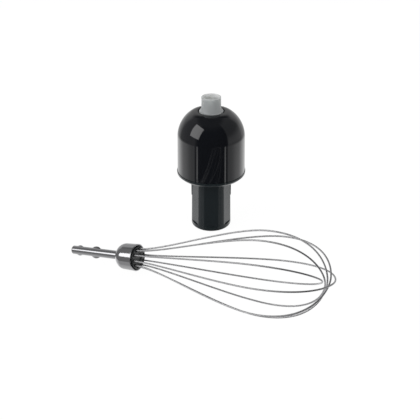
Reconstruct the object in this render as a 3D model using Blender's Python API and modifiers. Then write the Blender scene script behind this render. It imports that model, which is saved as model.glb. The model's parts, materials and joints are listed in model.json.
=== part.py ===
"""Whisk attachment of an immersion blender: a gear adapter that stands on its nose, and a wire whisk.

Metres, Z up. The whisk lies along +X in front of the adapter, as its own weight leaves it: on the
shoulder of its stem and on its lowest wires. The middle of the pair's footprint is the origin.
"""

import math

import bmesh
import bpy
from mathutils import Matrix, Vector

# Gaps between pieces, small edges, and how far a cutter runs past the face that it opens
SEAT_GAP = 0.0003
RUN_GAP = 0.0005
FREE_GAP = 0.0011
EDGE = 0.0004
FINE_EDGE = 0.0002
OVERRUN = 0.0010

# Nose, which takes the whisk's stem
NOSE_LENGTH = 0.0434
NOSE_CHAMFER = 0.0009
NOSE_WALL = 0.0024
NOSE_FLARE = 0.0008
NOSE_SPACE = 0.0014
NOSE_FLAT_COUNT = 6
NOSE_FLAT_DEPTH = 0.0009
NOSE_END_RING = 0.0036
NOSE_FLOOR = 0.0040
LUG_WIDTH = 0.0042
LUG_LENGTH = 0.0178
LUG_RISE = 0.0006
LUG_ROOT = 0.0008

# Flange under the dome, and the deck that carries the gears
LIP_PROUD = 0.00035
LIP_HEIGHT = 0.0008
FLANGE_HEIGHT = 0.0026
FLANGE_SLOPE = 0.0017
DECK_RISE = 0.0032
SEAL_WIRE_RADIUS = 0.0006

# Dome
DOME_DRAFT = 0.0006
DOME_SHOULDER_RISE = 0.0289
DOME_CROWN_RISE = 0.0212
DOME_CROWN_POWER = 1.72
DOME_SIDE_POWER = 2.63
DOME_WALL = 0.0022
DOME_ROOF = 0.0030
LAND_RADIUS = 0.0127
LAND_DIP = 0.0003
CRATER_GAP = 0.00095
CRATER_DEPTH = 0.0033
BOSS_WALL = 0.0026
BOSS_WEB = 0.0016
BOSS_SKIRT = 0.0022

# Output side: spindle, bushes and whisk socket
SPINDLE_RADIUS = 0.0063
SPINDLE_RECESS = 0.0006
SPINDLE_FLANGE_RADIUS = 0.0086
SPINDLE_FLANGE_HEIGHT = 0.0021
SPINDLE_HEX_FLATS = 0.0086
SOCKET_DEPTH = 0.0396
BUSH_WALL = 0.0024
BUSH_LENGTH = 0.0096
BUSH_INSET = 0.0024
TUBE_WALL = 0.0016
WASHER_THICKNESS = 0.0009
CLIP_THICKNESS = 0.0007
CLIP_WIDTH = 0.0020
CLIP_GROOVE_DEPTH = 0.0006
CLIP_MOUTH = math.radians(40)

# Planetary gears
GEAR_MODULE = 0.00075
SUN_TEETH = 12
PLANET_TEETH = 15
RING_TEETH = SUN_TEETH + 2 * PLANET_TEETH
PLANET_COUNT = 3
GEAR_WIDTH = 0.0086
GEAR_BACKLASH = 0.00016
TOOTH_ADDENDUM = 0.80
TOOTH_DEDENDUM = 1.05
PRESSURE_ANGLE = math.radians(20)
RING_WALL_GAP = 0.0006
CARRIER_PLATE = 0.0032
CARRIER_COVER = 0.0018
PIN_RADIUS = 0.0015
PILLAR_RADIUS = 0.0016
RING_OVERHANG = 0.0012
RING_RIM = 0.0060825
PILLAR_MARGIN = 0.0010

# Input side: shaft, bearing and coupling
SHAFT_RADIUS = 0.0025
PILOT_RADIUS = 0.0016
PILOT_LENGTH = 0.0024
BEARING_RADIUS = 0.0080
BEARING_WIDTH = 0.0050
SPACER_WALL = 0.0016
SEAL_HEIGHT = 0.0033
SEAL_SKIN = 0.0007
SEAL_RADIUS = 0.0070
COUPLING_RADIUS = 0.00715
COUPLING_SKIRT_RADIUS = 0.00885
COUPLING_RISE = 0.0109
COUPLING_SKIRT_RISE = 0.0040
COUPLING_SINK = 0.0030
COUPLING_SOCKET_DEPTH = 0.0086
COUPLING_LEAD_IN = 0.0014
COUPLING_HEX_FLATS = 0.0105
COUPLING_FLOOR = 0.0011
COUPLING_RIM = 0.00085

# Screws
SCREW_RADIUS = 0.0010
SCREW_HEAD_RADIUS = 0.0018
SCREW_HEAD_HEIGHT = 0.0014
SCREW_COUNT = 3
SCREW_BITE = 0.0085
COUPLING_SCREW_HEAD = 0.0024
COUPLING_SCREW_RISE = 0.0016
COUPLING_SCREW_BITE = 0.0056
PILLAR_BOSS_RADIUS = 0.0025
PILLAR_BOSS_HEIGHT = 0.0140
RIB_THICKNESS = 0.0016
RIB_CLIMB = 0.0020

# Whisk: distances along its axis are from the ferrule's rim
STEM_RADIUS = 0.00305
STEM_REACH = 0.0563
STEM_BEVEL = 0.0006
STEM_INSET = 0.0062
BIG_LUG = {"back": 0.0348, "length": 0.0084, "rise": 0.0017, "thickness": 0.0026}
SMALL_LUG = {"back": 0.0491, "length": 0.0060, "rise": 0.0010, "thickness": 0.0022}
FERRULE_LENGTH = 0.0153
FERRULE_RIM_RADIUS = 0.0095
FERRULE_BELL_RADIUS = 0.0092
FERRULE_WALL = 0.0008
BELL_LENGTH = 0.0065
HOLDER_DEPTH = FERRULE_LENGTH - STEM_INSET - EDGE
HOLDER_PROUD = 0.0010
HOLDER_CHAMFER = 0.0004
HOLDER_DISH_RADIUS = 0.0036
HOLDER_DISH_DEPTH = 0.0007
WIRE_RADIUS = 0.00055
WIRE_GRIP = 0.0064
WIRE_CIRCLE = 0.0063
FUNNEL_RADIUS = 0.00135
FUNNEL_DEPTH = 0.0020
LOOP_COUNT = 5
LOOP_ROLL = math.radians(-9.47)
LOOP_REACH = (0.14029, 0.13753, 0.13587, 0.13431, 0.13248)
LOOP_RADIUS = (0.02393, 0.02906, 0.02706, 0.02624, 0.02101)
LOOP_BELLY = (0.10016, 0.09944, 0.09487, 0.09737, 0.09296)
NECK_HANDLES = (0.193, 0.271)
TIP_HANDLES = (0.868, 0.238)

# Where the two pieces stand
ADAPTER_ALONG = 0.01622
ADAPTER_BEHIND = 0.08496
RIM_TO_ADAPTER = Vector((ADAPTER_ALONG, ADAPTER_BEHIND, 0.0))
ADAPTER_TURN = math.radians(25.6)

# Fineness of round pieces
DOME_STEPS = 30
FERRULE_STEPS = 24
MID_STEPS = 20
SMALL_STEPS = 16
SCREW_STEPS = 10


def clear_scene():
    """Removes what the startup file holds."""
    for old in list(bpy.data.objects):
        bpy.data.objects.remove(old, do_unlink=True)


def make_collection(name):
    collection = bpy.data.collections.new(name)
    bpy.context.scene.collection.children.link(collection)
    return collection


def make_material(name, colour, roughness, metallic=0.0):
    material = bpy.data.materials.new(name)
    material.use_nodes = True
    shader = material.node_tree.nodes["Principled BSDF"]
    shader.inputs["Base Color"].default_value = (*colour, 1.0)
    shader.inputs["Roughness"].default_value = roughness
    shader.inputs["Metallic"].default_value = metallic
    return material


clear_scene()
PARTS = make_collection("immersion_blender_whisk")
CUTTERS = make_collection("cutters")

GLOSS_BLACK = make_material("gloss_black", (0.010, 0.010, 0.012), 0.12)
SATIN_BLACK = make_material("satin_black", (0.020, 0.024, 0.026), 0.38)
NATURAL_NYLON = make_material("natural_nylon", (0.62, 0.63, 0.61), 0.42)
PLUG_BLACK = make_material("plug_black", (0.030, 0.034, 0.036), 0.45)
POLISHED_STEEL = make_material("polished_steel", (0.62, 0.62, 0.61), 0.16, 1.0)
BRIGHT_STEEL = make_material("bright_steel", (0.50, 0.50, 0.50), 0.30, 1.0)
SINTERED_BRONZE = make_material("sintered_bronze", (0.45, 0.30, 0.13), 0.45, 1.0)
GEAR_ACETAL = make_material("gear_acetal", (0.75, 0.73, 0.66), 0.45)
BLACK_RUBBER = make_material("black_rubber", (0.015, 0.015, 0.015), 0.70)


def new_object(name, data, parent, material=None, collection=PARTS):
    obj = bpy.data.objects.new(name, data)
    collection.objects.link(obj)
    obj.parent = parent
    if material:
        data.materials.append(material)
    return obj


def smooth(mesh, angle=35):
    mesh.shade_smooth()
    mesh.set_sharp_from_angle(angle=math.radians(angle))


def make_empty(name, location=(0.0, 0.0, 0.0), rotation=(0.0, 0.0, 0.0), parent=None):
    empty = bpy.data.objects.new(name, None)
    PARTS.objects.link(empty)
    empty.location = location
    empty.rotation_euler = rotation
    empty.parent = parent
    return empty


def runs_downward(profile):
    """True where a closed (radius, height) outline goes down its outer side."""
    area = 0.0
    for (r0, z0), (r1, z1) in zip(profile, profile[1:] + profile[:1]):
        area += r0 * z1 - r1 * z0
    return area < 0


def turned(name, profile, material, parent, steps=MID_STEPS, collection=PARTS):
    """A solid turned about Z from a (radius, height) outline, which may start and end on the axis."""
    if not runs_downward(profile):
        profile = profile[::-1]
    on_axis = [r < 1e-7 for r, _ in profile]
    edges = [(i, i + 1) for i in range(len(profile) - 1)]
    if any(on_axis):
        # The outline is cut open between its two points on the axis.
        start = next(i for i, on in enumerate(on_axis) if on and on_axis[i - 1])
        profile = profile[start:] + profile[:start]
    else:
        edges.append((len(profile) - 1, 0))
    mesh = bpy.data.meshes.new(name)
    mesh.from_pydata([(r, 0.0, z) for r, z in profile], edges, [])
    obj = new_object(name, mesh, parent, material, collection)
    screw = obj.modifiers.new("turn", "SCREW")
    screw.steps = steps
    screw.render_steps = steps
    screw.use_merge_vertices = True
    screw.merge_threshold = 0.00001
    screw.use_smooth_shade = True
    return obj


def cylinder_mesh(name, radius, z0, z1, sides, top_radius=None):
    """A straight or tapered cylinder along Z, with closed ends."""
    mesh = bpy.data.meshes.new(name)
    shape = bmesh.new()
    bmesh.ops.create_cone(
        shape,
        cap_ends=True,
        segments=sides,
        radius1=radius,
        radius2=radius if top_radius is None else top_radius,
        depth=z1 - z0,
        matrix=Matrix.Translation((0.0, 0.0, (z0 + z1) / 2)),
    )
    shape.to_mesh(mesh)
    shape.free()
    return mesh


def box_mesh(name, low, high):
    mesh = bpy.data.meshes.new(name)
    shape = bmesh.new()
    low, high = Vector(low), Vector(high)
    place = Matrix.Translation((low + high) / 2) @ Matrix.Diagonal((*(high - low), 1.0))
    bmesh.ops.create_cube(shape, size=1.0, matrix=place)
    shape.to_mesh(mesh)
    shape.free()
    return mesh


def make_cutter(name, mesh, parent):
    """A helper shape that a Boolean reads. It isn't part of the object."""
    cutter = new_object(name, mesh, parent, collection=CUTTERS)
    cutter.hide_render = True
    cutter.display_type = "WIRE"
    return cutter


def combine(obj, other, operation):
    boolean = obj.modifiers.new(f"{operation.lower()} {other.name}", "BOOLEAN")
    boolean.operation = operation
    boolean.object = other
    boolean.solver = "EXACT"


def around(radius, angle):
    return Vector((radius * math.cos(angle), radius * math.sin(angle), 0.0))


def spread(count, start=0.0):
    """Equal angles round a circle."""
    return [start + 2 * math.pi * i / count for i in range(count)]


def circle_outline(radius, sides, centre=(0.0, 0.0), start=0.0):
    return [
        (centre[0] + radius * math.cos(a), centre[1] + radius * math.sin(a)) for a in spread(sides, start)
    ]


def hex_outline(flats):
    """Six corners, with a flat across +X."""
    return circle_outline(flats / 2 / math.cos(math.pi / 6), 6, start=math.pi / 6)


def clip_outline(inner, outer):
    """An open ring, as a circlip is."""
    steps = 14
    sweep = [CLIP_MOUTH / 2 + (2 * math.pi - CLIP_MOUTH) * i / steps for i in range(steps + 1)]
    outside = [(outer * math.cos(a), outer * math.sin(a)) for a in sweep]
    inside = [(inner * math.cos(a), inner * math.sin(a)) for a in reversed(sweep)]
    return outside + inside


def plate(name, outlines, z0, z1, material, parent):
    """A flat piece between two heights, from its outline and the outlines of its holes."""
    curve = bpy.data.curves.new(name, "CURVE")
    curve.dimensions = "2D"
    curve.fill_mode = "BOTH"
    curve.extrude = (z1 - z0) / 2
    for outline in outlines:
        spline = curve.splines.new("POLY")
        spline.points.add(len(outline) - 1)
        for point, (x, y) in zip(spline.points, outline):
            point.co = (x, y, 0.0, 1.0)
        spline.use_cyclic_u = True
    obj = new_object(name, curve, parent, material)
    obj.location = (0.0, 0.0, (z0 + z1) / 2)
    return obj


def as_mesh(obj):
    """Replaces a curve object by the closed mesh that it draws, in the same place."""
    bpy.context.view_layer.update()
    graph = bpy.context.evaluated_depsgraph_get()
    mesh = bpy.data.meshes.new_from_object(obj.evaluated_get(graph))
    shape = bmesh.new()
    shape.from_mesh(mesh)
    bmesh.ops.remove_doubles(shape, verts=shape.verts, dist=0.000001)
    shape.to_mesh(mesh)
    shape.free()
    solid = bpy.data.objects.new("mesh of " + obj.name, mesh)
    PARTS.objects.link(solid)
    solid.parent = obj.parent
    solid.matrix_world = obj.matrix_world
    name = obj.name
    bpy.data.objects.remove(obj, do_unlink=True)
    solid.name = name
    return solid


def involute(angle):
    return math.tan(angle) - angle


def gear_outline(teeth, addendum, dedendum, backlash, start=0.0, flank_points=3):
    """Involute teeth, with the middle of one at the angle start. Sizes are radial, from the pitch circle."""
    pitch = teeth * GEAR_MODULE / 2
    base = pitch * math.cos(PRESSURE_ANGLE)
    root, tip = pitch - dedendum, pitch + addendum
    half_at_pitch = math.pi / (2 * teeth) - backlash / (2 * pitch)
    low = max(root, base)
    flank = []
    for i in range(flank_points):
        radius = low + (tip - low) * i / (flank_points - 1)
        half = half_at_pitch + involute(PRESSURE_ANGLE) - involute(math.acos(min(1.0, base / radius)))
        flank.append((radius, half))
    if root < base:
        flank[0] = (root, flank[0][1])
    outline = []
    for middle in spread(teeth, start):
        for radius, half in flank:
            outline.append((radius * math.cos(middle - half), radius * math.sin(middle - half)))
        for radius, half in reversed(flank):
            outline.append((radius * math.cos(middle + half), radius * math.sin(middle + half)))
    return outline


# Heights in the adapter, from the end of its nose
LIP_TOP = NOSE_LENGTH + FLANGE_HEIGHT
DECK_TOP = LIP_TOP + DECK_RISE
PLATE_BOTTOM = DECK_TOP + 2 * SEAT_GAP
PLATE_TOP = PLATE_BOTTOM + CARRIER_PLATE
GEAR_BOTTOM = PLATE_TOP + RUN_GAP
GEAR_TOP = GEAR_BOTTOM + GEAR_WIDTH
COVER_BOTTOM = GEAR_TOP + RUN_GAP
COVER_TOP = COVER_BOTTOM + CARRIER_COVER
RING_TOP = COVER_TOP + RING_OVERHANG
SPINDLE_FLANGE_BOTTOM = PLATE_BOTTOM - SEAT_GAP - SPINDLE_FLANGE_HEIGHT
WASHER_TOP = SPINDLE_FLANGE_BOTTOM - SEAT_GAP
WASHER_BOTTOM = WASHER_TOP - WASHER_THICKNESS
UPPER_BUSH_TOP = WASHER_BOTTOM - SEAT_GAP
TUBE_TOP = UPPER_BUSH_TOP + SEAT_GAP
SHOULDER_TOP = LIP_TOP + DOME_SHOULDER_RISE

# Radii that follow from the gears, outwards
RING_ROOT = (RING_TEETH / 2 + TOOTH_DEDENDUM) * GEAR_MODULE
RING_RADIUS = RING_ROOT + RING_RIM
SCREW_CIRCLE = RING_ROOT + RING_RIM / 2
DOME_SHOULDER_RADIUS = RING_RADIUS + SEAT_GAP + DOME_WALL
DOME_BASE_RADIUS = DOME_SHOULDER_RADIUS + DOME_DRAFT
LIP_RADIUS = DOME_BASE_RADIUS + LIP_PROUD

# Radii that follow from the pieces inside
BUSH_RADIUS = SPINDLE_RADIUS + SEAT_GAP + BUSH_WALL
BUSH_SEAT = BUSH_RADIUS + SEAT_GAP
TUBE_RADIUS = BUSH_SEAT + TUBE_WALL
NOSE_CORE = TUBE_RADIUS + NOSE_SPACE
NOSE_RADIUS = NOSE_CORE + NOSE_WALL
NOSE_END_RADIUS = NOSE_RADIUS + NOSE_FLARE
NOSE_DRAFT = math.atan(NOSE_FLARE / NOSE_LENGTH)
DOME_BORE = DOME_BASE_RADIUS - DOME_WALL - FINE_EDGE
DECK_RADIUS = DOME_BORE - SEAT_GAP
SEAL_GROOVE_DEPTH = 2 * SEAL_WIRE_RADIUS + SEAT_GAP
SEAL_GROOVE_HEIGHT = 2 * SEAL_WIRE_RADIUS + FINE_EDGE
CRATER_RADIUS = COUPLING_SKIRT_RADIUS + CRATER_GAP
CARRIER_SPREAD = (SUN_TEETH + PLANET_TEETH) * GEAR_MODULE / 2
RING_TIP = RING_TEETH * GEAR_MODULE / 2 - TOOTH_ADDENDUM * GEAR_MODULE
CARRIER_RADIUS = RING_TIP - RING_WALL_GAP
PILLAR_SPREAD = CARRIER_RADIUS - PILLAR_RADIUS - PILLAR_MARGIN
HEX_HOLE_FLATS = SPINDLE_HEX_FLATS + 2 * SEAT_GAP


def crown_height(radius, side_radius, rise):
    """Height above the dome's shoulder at which its crown has this radius."""
    return rise * (1 - (radius / side_radius) ** DOME_SIDE_POWER) ** (1 / DOME_CROWN_POWER)


def crown(side_radius, rise, end_radius, steps):
    """The dome's crown as (radius, height) points from its shoulder up to a radius."""
    last = math.acos((end_radius / side_radius) ** (DOME_SIDE_POWER / 2))
    points = []
    for i in range(1, steps + 1):
        a = last * i / steps
        points.append(
            (
                side_radius * math.cos(a) ** (2 / DOME_SIDE_POWER),
                SHOULDER_TOP + rise * math.sin(a) ** (2 / DOME_CROWN_POWER),
            )
        )
    return points


LAND_TOP = SHOULDER_TOP + crown_height(LAND_RADIUS, DOME_SHOULDER_RADIUS, DOME_CROWN_RISE)
CRATER_RIM = LAND_TOP - LAND_DIP
CRATER_FLOOR = CRATER_RIM - CRATER_DEPTH
SEAL_POCKET = SEAL_RADIUS + SEAT_GAP
SEAL_SEAT = CRATER_FLOOR - SEAL_HEIGHT - 2 * SEAT_GAP
BEARING_SEAT = SEAL_SEAT - BOSS_WEB
BEARING_TOP = BEARING_SEAT - SEAT_GAP
BEARING_BOTTOM = BEARING_TOP - BEARING_WIDTH
BEARING_BORE = BEARING_RADIUS + SEAT_GAP
BOSS_RADIUS = BEARING_BORE + BOSS_WALL
CLIP_TOP = BEARING_BOTTOM - SEAT_GAP
CLIP_BOTTOM = CLIP_TOP - CLIP_THICKNESS
BOSS_BOTTOM = CLIP_BOTTOM - BOSS_SKIRT
COUPLING_BOTTOM = CRATER_RIM - COUPLING_SINK
COUPLING_TOP = CRATER_RIM + COUPLING_RISE
COUPLING_HEX_BOTTOM = COUPLING_TOP - COUPLING_SOCKET_DEPTH
SHAFT_HOLE_TOP = COUPLING_HEX_BOTTOM - COUPLING_FLOOR
SHAFT_TOP = SHAFT_HOLE_TOP - SEAT_GAP


def make_nose_housing(parent):
    """One moulding: the nose, the flange that closes the dome, and the tube that carries the spindle."""
    groove_middle = LIP_TOP + DECK_RISE / 2
    groove = (groove_middle + SEAL_GROOVE_HEIGHT / 2, groove_middle - SEAL_GROOVE_HEIGHT / 2)
    groove_floor = DECK_RADIUS - SEAL_GROOVE_DEPTH
    lip_bottom = LIP_TOP - LIP_HEIGHT
    lower_seat = BUSH_INSET + BUSH_LENGTH + SEAT_GAP
    upper_seat = UPPER_BUSH_TOP - BUSH_LENGTH - SEAT_GAP
    tube_bore = SPINDLE_RADIUS + FREE_GAP
    profile = [
        (DECK_RADIUS, DECK_TOP),
        (DECK_RADIUS, groove[0]),
        (groove_floor, groove[0]),
        (groove_floor, groove[1]),
        (DECK_RADIUS, groove[1]),
        (DECK_RADIUS, LIP_TOP),
        (LIP_RADIUS - FINE_EDGE, LIP_TOP),
        (LIP_RADIUS, LIP_TOP - FINE_EDGE),
        (LIP_RADIUS, lip_bottom),
        (LIP_RADIUS - FLANGE_SLOPE, NOSE_LENGTH),
        (NOSE_RADIUS, NOSE_LENGTH),
        (NOSE_END_RADIUS, NOSE_CHAMFER),
        (NOSE_END_RADIUS - NOSE_CHAMFER, 0.0),
        (BUSH_SEAT, 0.0),
        (BUSH_SEAT, lower_seat),
        (tube_bore, lower_seat),
        (tube_bore, upper_seat),
        (BUSH_SEAT, upper_seat),
        (BUSH_SEAT, TUBE_TOP),
        (TUBE_RADIUS, TUBE_TOP),
        (TUBE_RADIUS, NOSE_FLOOR),
        (NOSE_CORE, NOSE_FLOOR),
        (NOSE_CORE, DECK_TOP),
    ]
    housing = turned("nose_housing", profile, SATIN_BLACK, parent, DOME_STEPS)

    lug_reach = NOSE_RADIUS + LUG_RISE
    for side, angle in enumerate((0.0, math.pi), 1):
        # A lug starts inside the nose's wall, below its flats, and ends inside the flange.
        lug = box_mesh(
            f"lug_{side}",
            (NOSE_RADIUS - NOSE_FLAT_DEPTH - LUG_ROOT, -LUG_WIDTH / 2, NOSE_LENGTH - LUG_LENGTH),
            (lug_reach, LUG_WIDTH / 2, NOSE_LENGTH + OVERRUN),
        )
        helper = make_cutter(f"lug_{side}", lug, parent)
        helper.rotation_euler.z = angle
        combine(housing, helper, "UNION")

    # The nose widens towards its end, as its mould needs, and each flat leans with it.
    flat_height = NOSE_END_RADIUS - NOSE_FLAT_DEPTH
    half_width = math.sqrt(NOSE_END_RADIUS**2 - flat_height**2) + EDGE
    lift = flat_height * math.sin(NOSE_DRAFT)
    for number, angle in enumerate(spread(NOSE_FLAT_COUNT, math.pi / 2), 1):
        flat = box_mesh(
            f"flat_{number}",
            (flat_height, -half_width, NOSE_END_RING - lift),
            (NOSE_END_RADIUS + OVERRUN, half_width, NOSE_LENGTH - EDGE - lift),
        )
        cutter = make_cutter(f"flat_{number}", flat, parent)
        cutter.rotation_euler = (0.0, -NOSE_DRAFT, angle)
        combine(housing, cutter, "DIFFERENCE")

    for number, angle in enumerate(spread(SCREW_COUNT, math.pi / 2), 1):
        # The hole runs out of the deck, and its wide mouth hides the head.
        hole_ends = NOSE_LENGTH - OVERRUN, DECK_TOP + OVERRUN
        hole = cylinder_mesh("hole", SCREW_RADIUS + SEAT_GAP, *hole_ends, SMALL_STEPS)
        mouth = cylinder_mesh(
            "mouth",
            SCREW_HEAD_RADIUS + SEAT_GAP,
            NOSE_LENGTH - OVERRUN,
            NOSE_LENGTH + SCREW_HEAD_HEIGHT + 2 * SEAT_GAP,
            SMALL_STEPS,
        )
        for word, mesh in (("hole", hole), ("mouth", mouth)):
            cutter = make_cutter(f"flange_{word}_{number}", mesh, parent)
            cutter.location = around(SCREW_CIRCLE, angle)
            combine(housing, cutter, "DIFFERENCE")
    return housing


def make_dome_housing(parent):
    """The glossy upper moulding, with the boss for the bearing and three screw pillars inside."""
    inner_side = DOME_SHOULDER_RADIUS - DOME_WALL
    inner_rise = DOME_CROWN_RISE - DOME_ROOF
    base = LIP_TOP + SEAT_GAP
    outside = [
        (DOME_BASE_RADIUS - FINE_EDGE, base),
        (DOME_BASE_RADIUS, base + FINE_EDGE),
        (DOME_SHOULDER_RADIUS, SHOULDER_TOP),
    ]
    outside += crown(DOME_SHOULDER_RADIUS, DOME_CROWN_RISE, LAND_RADIUS, 7)
    inside = [(DOME_BORE, base), (inner_side, SHOULDER_TOP)]
    inside += crown(inner_side, inner_rise, BOSS_RADIUS, 4)
    boss = [
        (BOSS_RADIUS, BOSS_BOTTOM),
        (BEARING_BORE, BOSS_BOTTOM),
        (BEARING_BORE, CLIP_BOTTOM - SEAT_GAP),
        (BEARING_BORE + CLIP_GROOVE_DEPTH + SEAT_GAP, CLIP_BOTTOM - SEAT_GAP),
        (BEARING_BORE + CLIP_GROOVE_DEPTH + SEAT_GAP, CLIP_TOP + SEAT_GAP / 2),
        (BEARING_BORE, CLIP_TOP + SEAT_GAP / 2),
        (BEARING_BORE, BEARING_SEAT),
        (SHAFT_RADIUS + SPACER_WALL + FREE_GAP, BEARING_SEAT),
        (SHAFT_RADIUS + SPACER_WALL + FREE_GAP, SEAL_SEAT),
        (SEAL_POCKET, SEAL_SEAT),
        (SEAL_POCKET, CRATER_FLOOR),
        (CRATER_RADIUS, CRATER_FLOOR),
        (CRATER_RADIUS, CRATER_RIM),
    ]
    profile = outside[::-1] + inside + boss
    housing = turned("dome_housing", profile, GLOSS_BLACK, parent, DOME_STEPS)

    pillar_bottom = RING_TOP + SEAT_GAP
    pillar_top = pillar_bottom + PILLAR_BOSS_HEIGHT
    for number, angle in enumerate(spread(SCREW_COUNT, math.pi / 2), 1):
        post = cylinder_mesh("post", PILLAR_BOSS_RADIUS, pillar_bottom, pillar_top, SMALL_STEPS)
        pillar = make_cutter(f"screw_pillar_{number}", post, parent)
        pillar.location = around(SCREW_CIRCLE, angle)
        combine(housing, pillar, "UNION")
        web = box_mesh(
            "rib",
            (SCREW_CIRCLE, -RIB_THICKNESS / 2, pillar_bottom + FINE_EDGE),
            (DOME_SHOULDER_RADIUS - DOME_WALL / 2, RIB_THICKNESS / 2, SHOULDER_TOP + RIB_CLIMB),
        )
        rib = make_cutter(f"screw_rib_{number}", web, parent)
        rib.rotation_euler.z = angle
        combine(housing, rib, "UNION")
    for number, angle in enumerate(spread(SCREW_COUNT, math.pi / 2), 1):
        bore_ends = pillar_bottom - OVERRUN, pillar_bottom + SCREW_BITE + SEAT_GAP
        bore = cylinder_mesh("bore", SCREW_RADIUS + SEAT_GAP, *bore_ends, SMALL_STEPS)
        cutter = make_cutter(f"pillar_bore_{number}", bore, parent)
        cutter.location = around(SCREW_CIRCLE, angle)
        combine(housing, cutter, "DIFFERENCE")
    return housing


def make_housing_screws(parent):
    """Long screws, from under the flange through the ring gear into the dome's pillars."""
    head_bottom = NOSE_LENGTH + SEAT_GAP
    head_top = head_bottom + SCREW_HEAD_HEIGHT
    tip = RING_TOP + SEAT_GAP + SCREW_BITE
    profile = [
        (0.0, tip),
        (SCREW_RADIUS * 0.5, tip),
        (SCREW_RADIUS, tip - SCREW_RADIUS),
        (SCREW_RADIUS, head_top),
        (SCREW_HEAD_RADIUS, head_top),
        (SCREW_HEAD_RADIUS, head_bottom + EDGE),
        (SCREW_HEAD_RADIUS - EDGE, head_bottom),
        (0.0, head_bottom),
    ]
    for number, angle in enumerate(spread(SCREW_COUNT, math.pi / 2), 1):
        screw = turned(f"housing_screw_{number}", profile, BRIGHT_STEEL, parent, SCREW_STEPS)
        screw.location = around(SCREW_CIRCLE, angle)


def ring_profile(inner, outer, bottom, top, chamfer=0.0):
    """The section of a plain ring, with its outer edges broken."""
    return [
        (inner, top),
        (outer - chamfer, top),
        (outer, top - chamfer),
        (outer, bottom + chamfer),
        (outer - chamfer, bottom),
        (inner, bottom),
    ]


def plain_ring(inner, outer, bottom, top):
    return [(inner, top), (outer, top), (outer, bottom), (inner, bottom)]


def make_fixed_pieces(parent):
    """What the two housings hold still: ring gear, bushes, bearing, seals and clips."""
    teeth = gear_outline(
        RING_TEETH,
        TOOTH_DEDENDUM * GEAR_MODULE,
        TOOTH_ADDENDUM * GEAR_MODULE,
        -GEAR_BACKLASH,
        flank_points=2,
    )
    outlines = [circle_outline(RING_RADIUS, DOME_STEPS), teeth]
    for angle in spread(SCREW_COUNT, math.pi / 2):
        centre = around(SCREW_CIRCLE, angle)
        outlines.append(circle_outline(SCREW_RADIUS + SEAT_GAP, 12, centre.to_tuple()[:2]))
    plate("ring_gear", outlines, DECK_TOP + SEAT_GAP, RING_TOP, GEAR_ACETAL, parent)

    bush_bore = SPINDLE_RADIUS + SEAT_GAP
    lower = ring_profile(bush_bore, BUSH_RADIUS, BUSH_INSET, BUSH_INSET + BUSH_LENGTH, EDGE)
    turned("lower_bush", lower, SINTERED_BRONZE, parent)
    upper = ring_profile(bush_bore, BUSH_RADIUS, UPPER_BUSH_TOP - BUSH_LENGTH, UPPER_BUSH_TOP, EDGE)
    turned("upper_bush", upper, SINTERED_BRONZE, parent)
    washer = plain_ring(bush_bore, BUSH_RADIUS, WASHER_BOTTOM, WASHER_TOP)
    turned("thrust_washer", washer, BRIGHT_STEEL, parent)

    race = (BEARING_RADIUS - SHAFT_RADIUS) * 0.28
    shield = EDGE
    inner, outer = SHAFT_RADIUS + SEAT_GAP, BEARING_RADIUS
    bearing = [
        (inner, BEARING_TOP),
        (inner + race, BEARING_TOP),
        (inner + race, BEARING_TOP - shield),
        (outer - race, BEARING_TOP - shield),
        (outer - race, BEARING_TOP),
        (outer, BEARING_TOP),
        (outer, BEARING_BOTTOM),
        (outer - race, BEARING_BOTTOM),
        (outer - race, BEARING_BOTTOM + shield),
        (inner + race, BEARING_BOTTOM + shield),
        (inner + race, BEARING_BOTTOM),
        (inner, BEARING_BOTTOM),
    ]
    turned("input_bearing", bearing, BRIGHT_STEEL, parent)
    groove_radius = BEARING_BORE + CLIP_GROOVE_DEPTH
    outline = clip_outline(groove_radius - CLIP_WIDTH, groove_radius)
    plate("bearing_clip", [outline], CLIP_BOTTOM, CLIP_TOP - SEAT_GAP / 2, BRIGHT_STEEL, parent)

    lip = SHAFT_RADIUS + SEAT_GAP + SPACER_WALL + SEAT_GAP
    bottom = SEAL_SEAT + SEAT_GAP
    shaft_seal = [
        (lip + SEAL_SKIN, bottom),
        (SEAL_RADIUS, bottom),
        (SEAL_RADIUS, bottom + SEAL_HEIGHT),
        (SEAL_RADIUS - SEAL_SKIN, bottom + SEAL_HEIGHT),
        (SEAL_RADIUS - SEAL_SKIN, bottom + SEAL_SKIN),
        (lip + 2 * SEAL_SKIN, bottom + SEAL_SKIN),
        (lip + SEAL_SKIN, bottom + SEAL_HEIGHT),
        (lip, bottom + SEAL_HEIGHT - SEAL_SKIN),
    ]
    turned("shaft_seal", shaft_seal, BLACK_RUBBER, parent)

    bpy.ops.mesh.primitive_torus_add(
        major_radius=DECK_RADIUS - SEAL_WIRE_RADIUS,
        minor_radius=SEAL_WIRE_RADIUS,
        major_segments=DOME_STEPS,
        minor_segments=6,
    )
    torus = bpy.context.object.data
    bpy.data.objects.remove(bpy.context.object, do_unlink=True)
    smooth(torus, 80)
    seal = new_object("housing_seal", torus, parent, BLACK_RUBBER)
    seal.location.z = LIP_TOP + DECK_RISE / 2


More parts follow.
